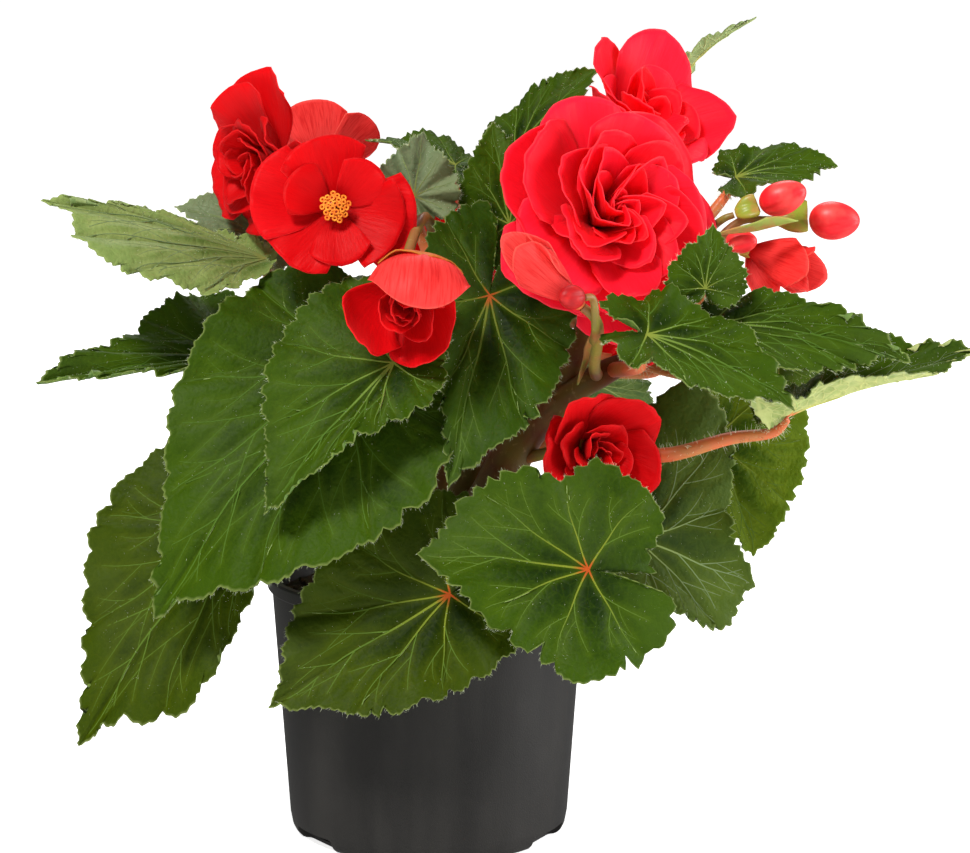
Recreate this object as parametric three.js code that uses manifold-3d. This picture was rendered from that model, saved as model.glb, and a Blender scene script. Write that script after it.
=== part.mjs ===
// A tuberous begonia in a plain nursery pot, with double red blooms, in millimetres, +Z up.
// The origin is the centre of the pot's underside, and the plant's best side looks towards -Y.
// The plant grows as one body of stems, leaf stalks and flower stalks. Each blade, bloom, bud
// and seed case is a solid of its own at the end of its stalk, a hair's breadth clear of it.
import * as THREE from "three";
import { mergeVertices } from "three/addons/utils/BufferGeometryUtils.js";
import Module from "manifold-3d";

const wasm = await Module();
wasm.setup();

// Driving dimensions of the pot: a 13 cm nursery pot with three drain slots in its foot.
const RIM_RADIUS = 66.5;
const POT_HEIGHT = 112;
const FOOT_RADIUS = 58.5;
const POT_WALL = 1.5;
const LIP_WIDTH = 1.8;
const LIP_HEIGHT = 6;
const CORNER = 6;
const PAD_RADIUS = 20;
const FLOOR_RISE = 3;
const SLOT_HEIGHT = 6.2;
const SLOT_ANGLE = 27;
const SLOT_DEPTH = 8;
const SLOT_CENTRES = [-147, -27, 93];
const DRAIN_RADIUS = 4;
const DRAIN_CIRCLE = 35;
const POT_SIDES = 28;

// Driving dimensions of the soil and of what grows in it.
const SOIL_TOP = 102;
const SOIL_DOME = 3;
const CROWN_RADIUS = 17;
const CROWN_X = 4;
const CROWN_FOOT = 86;
const GAP = 0.3;
const BLADE = 0.9;
const PETAL = 0.8;
const HEART_DEPTH = 5;
const HEART_TOP = 3;
const HEART_FOOT_RADIUS = 2.4;
const HEART_TOP_RADIUS = 4.6;
const STALK_TIP = 1.7;
const STALK_BASE = 3.3;
const TOOTH = 2.2;
const OUTLINE_POINTS = 28;

const GREEN = 0x2f5d1c;
const STEM_BROWN = 0x8a4a2c;
const RED = 0xe01018;
const CORAL = 0xf0483c;
const PALE_GREEN = 0x8fae3a;
const YELLOW = 0xe08a1a;
const POT_GREY = 0x34322f;
const SOIL_BROWN = 0x3a2a1e;

const turn = THREE.MathUtils.degToRad;
const vec = (p) => new THREE.Vector3(...p);

function solidOf(geometry) {
  const bare = new THREE.BufferGeometry();
  bare.setAttribute("position", geometry.getAttribute("position").clone());
  if (geometry.index) bare.setIndex(geometry.index.clone());
  const merged = mergeVertices(bare, 1e-4);
  return new wasm.Manifold(
    new wasm.Mesh({
      numProp: 3,
      vertProperties: new Float32Array(merged.attributes.position.array),
      triVerts: new Uint32Array(merged.index.array),
    }),
  );
}

function geometryOf(solid) {
  const mesh = solid.getMesh();
  const geometry = new THREE.BufferGeometry();
  geometry.setAttribute("position", new THREE.BufferAttribute(mesh.vertProperties, 3));
  geometry.setIndex(new THREE.BufferAttribute(mesh.triVerts, 1));
  return geometry;
}

function joined(solids) {
  return solids.reduce((whole, next) => whole.add(next));
}

function node(name, solid, colour, roughness) {
  const material = new THREE.MeshStandardMaterial({ color: colour, roughness, metalness: 0 });
  const mesh = new THREE.Mesh(geometryOf(solid), material);
  mesh.name = name;
  return mesh;
}

function lathe(profile) {
  const points = profile.map(([r, z]) => new THREE.Vector2(r, z));
  const geometry = new THREE.LatheGeometry(points, POT_SIDES);
  geometry.rotateX(Math.PI / 2);
  const solid = solidOf(geometry);
  return solid.volume() > 0 ? solid : solidOf(flipped(geometry));
}

function flipped(geometry) {
  const index = geometry.index.array;
  for (let i = 0; i < index.length; i += 3) [index[i + 1], index[i + 2]] = [index[i + 2], index[i + 1]];
  return geometry;
}

// The pot: a tapered shell with a lip, a rounded foot and a floor raised between pad and foot.
function wallRadius(z) {
  return FOOT_RADIUS + ((RIM_RADIUS - FOOT_RADIUS) * z) / POT_HEIGHT;
}

function pot() {
  const inner = (z) => wallRadius(z) - POT_WALL;
  const raisedFrom = PAD_RADIUS + FLOOR_RISE;
  const raisedTo = FOOT_RADIUS - CORNER - 2 * FLOOR_RISE;
  const shell = lathe([
    [0, 0],
    [PAD_RADIUS, 0],
    [raisedFrom, FLOOR_RISE],
    [raisedTo, FLOOR_RISE],
    [raisedTo + FLOOR_RISE, 0],
    [FOOT_RADIUS - CORNER, 0],
    [FOOT_RADIUS - 0.3 * CORNER, 0.3 * CORNER],
    [wallRadius(CORNER), CORNER],
    [wallRadius(POT_HEIGHT - LIP_HEIGHT), POT_HEIGHT - LIP_HEIGHT],
    [wallRadius(POT_HEIGHT - LIP_HEIGHT) + LIP_WIDTH, POT_HEIGHT - LIP_HEIGHT],
    [RIM_RADIUS + LIP_WIDTH, POT_HEIGHT],
    [RIM_RADIUS - POT_WALL, POT_HEIGHT],
    [inner(CORNER), CORNER],
    [FOOT_RADIUS - CORNER, POT_WALL],
    [raisedTo + FLOOR_RISE, POT_WALL],
    [raisedTo, FLOOR_RISE + POT_WALL],
    [raisedFrom, FLOOR_RISE + POT_WALL],
    [PAD_RADIUS, POT_WALL],
    [0, POT_WALL],
  ]);
  const slots = SLOT_CENTRES.map((degrees) => {
    const half = turn(SLOT_ANGLE / 2);
    const near = FOOT_RADIUS - SLOT_DEPTH;
    const far = FOOT_RADIUS + SLOT_DEPTH;
    const sector = new THREE.Shape();
    sector.moveTo(near * Math.cos(half), -near * Math.sin(half));
    sector.lineTo(far * Math.cos(half), -far * Math.sin(half));
    sector.lineTo(far * Math.cos(half), far * Math.sin(half));
    sector.lineTo(near * Math.cos(half), near * Math.sin(half));
    const slot = new THREE.ExtrudeGeometry(sector, { depth: SLOT_HEIGHT + 1, bevelEnabled: false });
    slot.rotateZ(turn(degrees)).translate(0, 0, -1);
    return solidOf(slot);
  });
  const drains = [0, 1, 2, 3, 4, 5].map((i) => {
    const drain = new THREE.CylinderGeometry(DRAIN_RADIUS, DRAIN_RADIUS, 3 * FLOOR_RISE, 6);
    drain.rotateX(Math.PI / 2).translate(DRAIN_CIRCLE, 0, FLOOR_RISE).rotateZ(turn(30 + 60 * i));
    return solidOf(drain);
  });
  return [...slots, ...drains].reduce((shape, cut) => shape.subtract(cut), shell);
}

// The soil fills the pot to just under the rim, with a plain hole where the plant stands.
function soil() {
  const fit = (z) => wallRadius(z) - POT_WALL - GAP;
  const raisedFrom = PAD_RADIUS + FLOOR_RISE;
  const raisedTo = FOOT_RADIUS - CORNER - 2 * FLOOR_RISE;
  const low = POT_WALL + GAP;
  const high = FLOOR_RISE + POT_WALL + GAP;
  const fill = lathe([
    [0, low],
    [PAD_RADIUS - GAP, low],
    [raisedFrom - GAP, high],
    [raisedTo + GAP, high],
    [raisedTo + FLOOR_RISE + GAP, low],
    [FOOT_RADIUS - CORNER - GAP, low],
    [fit(CORNER) - 1, CORNER + GAP],
    [fit(SOIL_TOP), SOIL_TOP],
    [0.6 * fit(SOIL_TOP), SOIL_TOP + 0.7 * SOIL_DOME],
    [0, SOIL_TOP + SOIL_DOME],
  ]);
  const hole = new THREE.CylinderGeometry(CROWN_RADIUS + GAP, CROWN_RADIUS + GAP, 30, 12);
  hole.rotateX(Math.PI / 2).translate(CROWN_X, 0, CROWN_FOOT - GAP + 15);
  return fill.subtract(solidOf(hole));
}

// A tapered stalk along a smooth curve, closed at both ends, with its radius given at each of
// its points. A wing above zero draws every second corner in, which makes a winged seed case.
function stalk(points, radii, sides = 5, steps = points.length - 1, wing = 0) {
  const curve = new THREE.CatmullRomCurve3(points.map(vec), false, "centripetal");
  const frames = curve.computeFrenetFrames(steps);
  const places = [];
  const index = [];
  for (let i = 0; i <= steps; i++) {
    const share = (i / steps) * (radii.length - 1);
    const k = Math.min(radii.length - 2, Math.floor(share));
    const radius = radii[k] + (radii[k + 1] - radii[k]) * (share - k);
    const centre = curve.getPoint(i / steps);
    for (let s = 0; s < sides; s++) {
      const angle = (2 * Math.PI * s) / sides;
      const reach = radius * (s % 2 ? 1 - wing : 1);
      const corner = centre
        .clone()
        .addScaledVector(frames.normals[i], reach * Math.cos(angle))
        .addScaledVector(frames.binormals[i], reach * Math.sin(angle));
      places.push(...corner.toArray());
    }
  }
  for (let i = 0; i < steps; i++) {
    for (let s = 0; s < sides; s++) {
      const a = i * sides + s;
      const b = i * sides + ((s + 1) % sides);
      index.push(a, b, b + sides, a, b + sides, a + sides);
    }
  }
  for (const i of [0, steps]) {
    const hub = places.length / 3;
    places.push(...curve.getPoint(i / steps).toArray());
    for (let s = 0; s < sides; s++) {
      const a = i * sides + s;
      const b = i * sides + ((s + 1) % sides);
      index.push(...(i ? [a, b, hub] : [b, a, hub]));
    }
  }
  const geometry = new THREE.BufferGeometry();
  geometry.setAttribute("position", new THREE.Float32BufferAttribute(places, 3));
  geometry.setIndex(index);
  const solid = solidOf(geometry);
  return solid.volume() > 0 ? solid : solidOf(flipped(geometry));
}

function ball(centre, radius, stretch = [1, 1, 1], facing = [0, 0, 1], sides = 8) {
  const geometry = new THREE.SphereGeometry(radius, sides, sides - 2);
  geometry.rotateX(Math.PI / 2).scale(...stretch);
  const upright = new THREE.Vector3(0, 0, 1);
  const aim = new THREE.Quaternion().setFromUnitVectors(upright, vec(facing).normalize());
  geometry.applyQuaternion(aim).translate(...centre);
  return solidOf(geometry);
}

// A closed sheet: the rows of triangles of its face, and the same ones turned round at its back.
function sheet(face, triangles, rim, thickness) {
  const top = new THREE.BufferGeometry();
  top.setAttribute("position", new THREE.Float32BufferAttribute(face.flatMap((p) => p.toArray()), 3));
  top.setIndex(triangles.flat());
  top.computeVertexNormals();
  const normals = top.getAttribute("normal");
  const back = face.map((p, i) =>
    p.clone().addScaledVector(new THREE.Vector3().fromBufferAttribute(normals, i), -thickness),
  );
  const n = face.length;
  const index = triangles.flat();
  for (const [a, b, c] of triangles) index.push(a + n, c + n, b + n);
  rim.forEach((a, i) => {
    const b = rim[(i + 1) % rim.length];
    index.push(b, a, a + n, b, a + n, b + n);
  });
  const corners = [...face, ...back].flatMap((p) => p.toArray());
  const geometry = new THREE.BufferGeometry();
  geometry.setAttribute("position", new THREE.Float32BufferAttribute(corners, 3));
  geometry.setIndex(index);
  return solidOf(geometry);
}

// One side of a begonia blade's outline, from the tip round to the notch behind the stalk:
// shares of the length in front of the stalk, or of the lobe behind it, and of the side's width.
const BLADE_SIDE = [
  [1, 0],
  [0.92, 0.09],
  [0.78, 0.3],
  [0.6, 0.62],
  [0.4, 0.87],
  [0.18, 0.99],
  [-0.1, 1],
  [-0.5, 0.9],
  [-0.85, 0.66],
  [-1, 0.38],
  [-0.86, 0.14],
  [-0.45, 0.05],
  [-0.12, 0],
];

// How far the outline is drawn out or in at an angle round the joint: an even share, or sixteen
// shares from behind the stalk, by the right side, the tip and the left side, and back again.
function drawnShare(shape, angle) {
  if (!shape) return 1;
  const at = (angle / (2 * Math.PI) + 0.5) * shape.length;
  const i = Math.floor(at);
  const t = (at - i) ** 2 * (3 - 2 * (at - i));
  return shape[i % shape.length] * (1 - t) + shape[(i + 1) % shape.length] * t;
}

function bladeOutline(leaf, teeth) {
  const side = (width) => {
    const corners = BLADE_SIDE.map(([x, y]) => {
      const reach = x > 0 ? leaf.length : leaf.lobe;
      return new THREE.Vector2(x * reach, y * width);
    });
    return new THREE.SplineCurve(corners).getSpacedPoints(OUTLINE_POINTS / 2);
  };
  const left = side(leaf.left);
  const right = side(-leaf.right).reverse();
  const ring = [...left.slice(0, -1), ...right.slice(0, -1)];
  for (const p of ring) p.multiplyScalar(drawnShare(leaf.shape, Math.atan2(p.y, p.x)));
  const half = ring.length / 2;
  return ring.map((p, i) => {
    const before = ring[(i + ring.length - 1) % ring.length];
    const after = ring[(i + 1) % ring.length];
    const out = new THREE.Vector2(after.y - before.y, before.x - after.x).normalize();
    const calm = i === 0 || Math.abs(i - half) < 3;
    return calm ? p.clone() : p.clone().addScaledVector(out, i % 2 ? teeth : -0.3 * teeth);
  });
}

// The blade's frame: its joint, and unit vectors along the chord to the tip, to the left, and
// out of its face, all turned back by half the droop so that the bent tip lands on the chord.
function bladeFrame(leaf) {
  const chord = vec(leaf.tip).sub(vec(leaf.joint));
  const reach = chord.length();
  const along = chord.clone().normalize();
  const face = vec(leaf.face).addScaledVector(along, -vec(leaf.face).dot(along)).normalize();
  const half = turn(leaf.droop / 2);
  const forward = along.clone().multiplyScalar(Math.cos(half)).addScaledVector(face, Math.sin(half));
  const up = face.clone().multiplyScalar(Math.cos(half)).addScaledVector(along, -Math.sin(half));
  const length = (reach * half) / Math.sin(half);
  return { origin: vec(leaf.joint), forward, left: up.clone().cross(forward), up, length };
}

// Bends a point of the flat blade: folded along the midrib, curled down at the sides, waved at
// the margin, twisted and drooped along its length.
function bladePoint(leaf, frame, x, y, share) {
  const fold = turn(leaf.fold);
  const soft = 3;
  const away = Math.hypot(y, soft) - soft;
  const angle = Math.atan2(y, x);
  let across = Math.sign(y) * (Math.abs(y) - away * (1 - Math.cos(fold)));
  let rise = away * Math.sin(fold);
  rise -= (leaf.curl * y * y) / (leaf.left + leaf.right) / 2;
  rise += leaf.wave * share * share * Math.sin(leaf.waves * angle + leaf.phase);
  const twist = turn(leaf.twist) * (x / frame.length);
  [across, rise] = [
    across * Math.cos(twist) - rise * Math.sin(twist),
    across * Math.sin(twist) + rise * Math.cos(twist),
  ];
  const bend = turn(leaf.droop) / frame.length;
  const at = bend * x;
  const ahead = Math.sin(at) / bend + rise * Math.sin(at);
  const high = (Math.cos(at) - 1) / bend + rise * Math.cos(at);
  return frame.origin
    .clone()
    .addScaledVector(frame.forward, ahead)
    .addScaledVector(frame.left, across)
    .addScaledVector(frame.up, high);
}

// A blade is a fan of rings round the joint, each with twice the points of the one inside: three
// rings in a large blade and two in a small one.
function blade(leaf) {
  const frame = bladeFrame(leaf);
  const whole = { ...leaf, length: frame.length };
  const smooth = bladeOutline(whole, 0);
  const toothed = bladeOutline(whole, TOOTH);
  const n = OUTLINE_POINTS;
  const large = frame.length > 78;
  const rings = [
    ...(large ? [{ step: 4, share: 0.32 }] : []),
    { step: 2, share: large ? 0.68 : 0.55 },
    { step: 1, share: 1 },
  ];
  const face = [bladePoint(whole, frame, 0, 0, 0)];
  const rows = rings.map(({ step, share }) => {
    const row = [];
    for (let i = 0; i < n; i += step) {
      const p = (step === 1 ? toothed : smooth)[i];
      row.push(face.length);
      face.push(bladePoint(whole, frame, p.x * share, p.y * share, share));
    }
    return row;
  });
  const triangles = rows[0].map((a, i) => [0, a, rows[0][(i + 1) % rows[0].length]]);
  for (let k = 0; k + 1 < rows.length; k++) {
    rows[k].forEach((a, i) => {
      const b = rows[k][(i + 1) % rows[k].length];
      const outer = [0, 1, 2].map((j) => rows[k + 1][(2 * i + j) % rows[k + 1].length]);
      triangles.push([a, outer[0], outer[1]], [a, outer[1], b], [b, outer[1], outer[2]]);
    });
  }
  return sheet(face, triangles, rows.at(-1), BLADE);
}

// A leaf stalk leaves a stem, passes the points given and comes to the joint from under the blade.
function leafStalk(leaf) {
  const frame = bladeFrame(leaf);
  const below = BLADE + 3 * GAP + 0.6 * STALK_TIP;
  const end = frame.origin.clone().addScaledVector(frame.up, -below).addScaledVector(frame.forward, -1);
  const near = end.clone().addScaledVector(frame.up, -leaf.hold).addScaledVector(frame.forward, -6);
  const points = [...leaf.stalk, near.toArray(), end.toArray()];
  const base = leaf.thick ?? STALK_BASE;
  return stalk(points, [base, (base + STALK_TIP) / 2, STALK_TIP]);
}

// The leaves, one row each: where the blade joins its stalk, where its tip is, which way its
// face looks, its half widths left and right of the midrib, the lobe behind the joint, how it
// folds, droops (degrees), curls, waves (millimetres) and twists (degrees), how far below the
// joint its stalk comes in (hold), and for some how the outline is drawn out or in.
const PLAIN = { fold: 8, droop: 30, curl: 0.2, wave: 2, waves: 5, phase: 0, twist: 0, hold: 6 };
const LEAVES = [
  {
    name: "leaf_front_right", joint: [65, -98, 134], tip: [0, -96, 140], face: [0.1, -0.88, 0.45],
    left: 50, right: 45, lobe: 40, fold: 6, droop: 24, wave: 3,
    stalk: [[10, -6, 112], [28, -22, 122], [54, -62, 116]],
    shape: [1, 0.6, 0.82, 0.93, 1, 0.8, 1.03, 1.14, 1.05, 0.96, 0.87, 0.84, 0.94, 0.86, 0.88, 0.9],
  },
  {
    name: "leaf_front_low", joint: [10, -76, 119], tip: [-60, -84, 76], face: [0, -0.93, 0.36],
    left: 36, right: 42, lobe: 34, fold: 6, droop: 20, wave: 2, stalk: [[6, -6, 108], [12, -40, 114]],
    shape: [1, 1, 1, 1, 1, 1, 1.05, 1.12, 1.04, 1.08, 1, 0.97, 0.97, 0.93, 0.95, 1],
  },
  {
    name: "leaf_left_large", joint: [-30, -55, 210], tip: [-109, -87, 113], face: [-0.12, -0.88, 0.46],
    left: 57, right: 56, lobe: 27, fold: 8, droop: 34, wave: 3,
    stalk: [[-28, -3, 165], [-30, -28, 186]],
    shape: [1, 1, 1.08, 1, 0.95, 0.97, 0.98, 0.97, 1.02, 1.1, 1.12, 1.12, 0.97, 0.95, 1, 1],
  },
  {
    name: "leaf_left_front", joint: [-12, -86, 215], tip: [-64, -104, 156], face: [-0.15, -0.88, 0.46],
    left: 30, right: 42, lobe: 26, fold: 8, droop: 34, wave: 2.5,
    stalk: [[26, -1, 175], [16, -30, 215], [4, -50, 232]],
    shape: [1, 1, 1, 1.04, 1, 1, 0.99, 0.99, 0.98, 0.64, 0.66, 0.76, 0.78, 0.7, 0.65, 0.8],
  },
  {
    name: "leaf_centre", joint: [26, -59, 238], tip: [9, -93, 164], face: [0.12, -0.93, 0.32],
    left: 38, right: 22, lobe: 38, fold: 8, droop: 26, wave: 2.5,
    stalk: [[26, -1, 175], [28, -32, 206]],
    shape: [1.1, 1.2, 1.3, 1.4, 1.25, 1, 0.8, 0.75, 0.98, 1.03, 0.97, 0.96, 0.87, 0.95, 1.1, 1.1],
  },
  {
    name: "leaf_left_hanging", joint: [-74, -46, 146], tip: [-146, -52, 47], face: [-0.3, -0.88, 0.3],
    left: 36, right: 45, lobe: 40, fold: 6, droop: 24, wave: 2.5,
    stalk: [[-10, 0, 112], [-44, -20, 138]],
    shape: [1, 1, 1, 1, 1.06, 1.1, 1.1, 1.02, 0.98, 1.2, 0.75, 0.6, 0.55, 0.6, 0.75, 0.9],
  },
  {
    name: "leaf_left_low", joint: [-84, -12, 136], tip: [-90, -22, 78], face: [-0.1, -0.9, 0.2],
    left: 13, right: 26, lobe: 20, stalk: [[-8, 2, 108], [-50, -2, 130]],
  },
  {
    name: "leaf_left_top", joint: [-66, -20, 248], tip: [-154, -50, 276], face: [0.05, -0.55, 0.83],
    left: 30, right: 12, lobe: 6, fold: 6, droop: 14, stalk: [[-42, -4, 220], [-50, -12, 238]],
    shape: [0.8, 0.8, 0.7, 0.7, 0.7, 0.6, 0.6, 0.7, 1, 1.5, 1.1, 0.56, 0.3, 0.3, 0.3, 0.5],
  },
  {
    name: "leaf_left_back", joint: [-80, -14, 206], tip: [-157, -58, 201], face: [-0.1, -0.66, 0.75],
    left: 10, right: 38, lobe: 16, fold: 14, droop: 16, stalk: [[-35, -4, 186], [-56, -4, 196]],
    shape: [1, 1, 1, 1, 1, 0.86, 0.8, 0.76, 1, 1, 1, 1, 1, 1, 1, 1],
  },
  {
    name: "leaf_left_small", joint: [-69, 10, 254], tip: [-106, 10, 266], face: [0, -0.75, 0.66],
    left: 17, right: 21, lobe: 15, fold: 14, stalk: [[-42, -4, 226], [-54, 16, 240]],
  },
  {
    name: "leaf_right_low", joint: [86, -42, 135], tip: [134, -36, 114], face: [0.1, -0.93, 0.32],
    left: 68, right: 36, lobe: 14, fold: 6, droop: 24, stalk: [[12, -4, 112], [58, -20, 124]],
    shape: [1, 1, 1, 1, 1, 0.95, 0.88, 1.3, 1.05, 0.86, 0.88, 0.96, 1, 1.2, 1.15, 1],
  },
  {
    name: "leaf_right_back", joint: [119, -12, 172], tip: [138, -14, 120], face: [0.2, -0.9, 0.35],
    left: 40, right: 24, lobe: 18, stalk: [[28, -2, 172], [84, 0, 162]],
  },
  {
    name: "leaf_right_near", joint: [87, -103, 229], tip: [148, -110, 201], face: [0.1, -0.62, 0.78],
    left: 22, right: 22, lobe: 17, wave: 3, stalk: [[76, -31, 203], [86, -64, 210]],
    shape: [1.3, 1, 0.8, 0.75, 0.8, 0.88, 0.96, 0.98, 0.98, 1, 1, 1.02, 1.04, 1, 1.12, 1.2],
  },
  {
    name: "leaf_right_long", joint: [113, -72, 228], tip: [198, -64, 212], face: [0, -0.6, 0.8],
    left: 28, right: 20, lobe: 9, stalk: [[92, -37, 212], [106, -54, 214]],
    shape: [1, 1, 1, 1, 1, 1.2, 1.35, 1.15, 0.97, 0.72, 0.68, 0.72, 0.7, 0.7, 0.8, 1],
  },
  {
    name: "leaf_right_young", joint: [111, -79, 243], tip: [114, -79, 269], face: [0.1, -0.97, 0.1],
    left: 16, right: 16, lobe: 6, wave: 2, stalk: [[92, -37, 212], [93, -68, 222]],
  },
  {
    name: "leaf_right_far", joint: [146, -50, 188], tip: [232, -40, 214], face: [-0.3, 0.1, 0.95],
    left: 20, right: 22, lobe: 12, fold: 34, droop: 12, twist: 50, thick: 4, hold: 2,
    stalk: [[50, -20, 180], [74, -30, 172], [96, -45, 170], [124, -50, 178]],
  },
  {
    name: "leaf_right_behind", joint: [148, 14, 198], tip: [184, 16, 206], face: [0, -0.7, 0.7],
    left: 17, right: 15, lobe: 12, stalk: [[40, 3, 212], [76, 30, 200], [120, 17, 191]],
  },
  {
    name: "leaf_top_right", joint: [127, -14, 281], tip: [170, -8, 285], face: [-0.05, -0.5, 0.86],
    left: 17, right: 14, lobe: 8, stalk: [[66, -14, 226], [90, -2, 246], [114, -12, 262]],
  },
  {
    name: "leaf_top_long", joint: [36, 24, 286], tip: [73, 26, 324], face: [-0.5, -0.6, 0.6],
    left: 20, right: 20, lobe: 18, stalk: [[42, 4, 220], [38, 22, 258]],
  },
  {
    name: "leaf_top_edge", joint: [104, 46, 314], tip: [139, 46, 343], face: [-0.5, 0.3, 0.8],
    left: 12, right: 12, lobe: 14, fold: 20, stalk: [[50, 7, 246], [70, 40, 270], [92, 48, 296]],
  },
  {
    name: "leaf_top_back", joint: [12, 6, 284], tip: [-26, 12, 294], face: [0, -0.25, 0.97],
    left: 18, right: 18, lobe: 12, stalk: [[30, 1, 190], [16, 6, 250]],
  },
  {
    name: "leaf_top_crumpled", joint: [-5, -28, 274], tip: [-1, -22, 300], face: [0, -0.95, 0.2],
    left: 17, right: 18, lobe: 8, wave: 3, waves: 7, stalk: [[18, 1, 155], [2, -14, 244]],
  },
  {
    name: "leaf_top_centre", joint: [34, -22, 262], tip: [27, -14, 304], face: [-0.2, -0.95, 0.15],
    left: 20, right: 22, lobe: 18, stalk: [[32, 1, 192], [34, -6, 236]],
  },
  {
    name: "leaf_back_left", joint: [-58, 48, 196], tip: [-108, 92, 136], face: [-0.4, 0.6, 0.65],
    left: 40, right: 36, lobe: 34, stalk: [[-24, -2, 150], [-42, 30, 182]],
  },
  {
    name: "leaf_back_low", joint: [-14, 82, 172], tip: [-36, 132, 96], face: [-0.1, 0.8, 0.6],
    left: 42, right: 42, lobe: 40, stalk: [[5, 20, 130], [-6, 54, 154]],
  },
  {
    name: "leaf_back_right", joint: [52, 76, 184], tip: [84, 128, 120], face: [0.3, 0.75, 0.6],
    left: 40, right: 40, lobe: 34, stalk: [[9, 36, 165], [32, 60, 172]],
  },
  {
    name: "leaf_back_side", joint: [104, 44, 196], tip: [146, 80, 150], face: [0.5, 0.4, 0.75],
    left: 32, right: 34, lobe: 28, stalk: [[32, 1, 186], [72, 30, 192]],
  },
  {
    name: "leaf_back_top", joint: [-36, 50, 228], tip: [-84, 90, 208], face: [-0.2, 0.3, 0.93],
    left: 28, right: 28, lobe: 20, stalk: [[13, 46, 208], [-18, 46, 218]],
  },
].map((leaf) => ({ ...PLAIN, ...leaf }));

// A bloom's frame: its base, its axis towards the viewer of the bloom, and two directions
// across it. A petal's azimuth is counted from the first of these round to the second.
function bloomFrame(bloom) {
  const axis = vec(bloom.axis).normalize();
  const upward = new THREE.Vector3(0, 0, 1).addScaledVector(axis, -axis.z).normalize();
  return { base: vec(bloom.base), axis, upward, side: axis.clone().cross(upward) };
}

// A point of a petal, s along it and t across it from -1 to 1. The petal leaves the axis at the
// angle open, bends by curl towards its end, and is cupped round the axis with radius cup.
function petalPoint(frame, petal, s, t) {
  const rounded = 1 - 0.3 * Math.abs(t) ** 2.5 * s * s;
  const pointed = petal.point * (1 - Math.abs(t)) * s ** 4;
  const along = petal.length * s * rounded + pointed;
  const across = petal.width * t * (0.12 + 1.5 * s - 0.74 * s * s);
  const open = turn(petal.open);
  const bend = turn(petal.curl || 0.1) / petal.length;
  const angle = open + bend * along;
  const radius = petal.start + (Math.cos(open) - Math.cos(angle)) / bend;
  const height = petal.rise + (Math.sin(angle) - Math.sin(open)) / bend;
  const lean = turn(petal.lean);
  const sideways = petal.cup * Math.sin(across / petal.cup);
  const cupped = petal.cup * (1 - Math.cos(across / petal.cup));
  const lateral = sideways * Math.cos(lean) - cupped * Math.sin(lean);
  const waved = petal.ruffle * s * s * Math.sin(petal.waves * t + petal.azimuth);
  const inward = sideways * Math.sin(lean) + cupped * Math.cos(lean) + waved;
  const azimuth = turn(petal.azimuth);
  const radial = frame.upward
    .clone()
    .multiplyScalar(Math.cos(azimuth))
    .addScaledVector(frame.side, Math.sin(azimuth));
  const tangent = frame.axis.clone().cross(radial);
  return frame.base
    .clone()
    .addScaledVector(radial, radius - inward * Math.cos(angle))
    .addScaledVector(frame.axis, height + inward * Math.sin(angle))
    .addScaledVector(tangent, lateral);
}

// A petal that curls over needs more rows than one that is nearly straight, and the inner
// petals are folded down their middle.
function petalSheet(frame, petal) {
  const rows = Math.abs(petal.curl) > 60 ? 6 : 2;
  const across = petal.folded ? [-1, 0, 1] : [-1, -0.45, 0.45, 1];
  const shares = Array.from({ length: rows + 1 }, (_, i) => i / rows);
  const columns = across.length;
  const face = shares.flatMap((s) => across.map((t) => petalPoint(frame, petal, s, t)));
  const triangles = [];
  for (let i = 0; i < rows; i++) {
    for (let j = 0; j + 1 < columns; j++) {
      const a = i * columns + j;
      triangles.push([a, a + columns, a + 1], [a + 1, a + columns, a + columns + 1]);
    }
  }
  const last = face.length - columns;
  const rim = [];
  for (let j = 0; j < columns; j++) rim.push(j);
  for (let i = 1; i < rows; i++) rim.push(i * columns + columns - 1);
  for (let j = columns - 1; j >= 0; j--) rim.push(last + j);
  for (let i = rows - 1; i > 0; i--) rim.push(i * columns);
  return sheet(face, triangles, rim.reverse(), PETAL);
}

// Every ring of petals is laid out evenly round the axis from its first azimuth, with a little
// difference in length and opening from petal to petal.
function ringPetals(ring, k) {
  return Array.from({ length: ring.count }, (_, i) => {
    const shift = Math.sin(5.1 * i + 1.7 * k);
    return {
      start: 2,
      rise: k,
      point: 0,
      lean: 9,
      ruffle: 1,
      waves: 4,
      folded: k > 0 && ring.count > 1,
      ...ring,
      azimuth: ring.first + (360 * i) / ring.count + 5 * shift,
      length: ring.length * (1 + 0.05 * shift),
      open: ring.open + 3 * shift,
    };
  });
}

// The heart of a bloom: a short cone that the petals stand on, flat where its stalk meets it.
function heart(frame) {
  const at = (height) => frame.base.clone().addScaledVector(frame.axis, height).toArray();
  return stalk([at(-HEART_DEPTH), at(HEART_TOP)], [HEART_FOOT_RADIUS, HEART_TOP_RADIUS], 5, 1);
}

// A bloom is its petals, the heart they stand on and, in a double bloom, the tight middle that
// they close round, joined into one solid.
function bloomSolid(bloom) {
  const frame = bloomFrame(bloom);
  const petals = bloom.rings.flatMap(ringPetals).map((petal) => petalSheet(frame, petal));
  if (!bloom.middle) return joined([heart(frame), ...petals]);
  const centre = frame.base.clone().addScaledVector(frame.axis, bloom.middle + 0.5 * HEART_TOP);
  const plump = bloom.plump ?? 0.6;
  const middle = ball(centre.toArray(), bloom.middle, [plump, plump, 1], bloom.axis, 6);
  return joined([heart(frame), middle, ...petals]);
}

// A flower stalk leaves a stem, passes the points given and comes to the back of the heart.
function bloomStalk(bloom) {
  const axis = vec(bloom.axis).normalize();
  const end = vec(bloom.base).addScaledVector(axis, -(HEART_DEPTH + 2 * GAP));
  const near = end.clone().addScaledVector(axis, -7);
  return stalk([...bloom.stalk, near.toArray(), end.toArray()], [2.8, 2.2, 1.8], 4);
}

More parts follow.
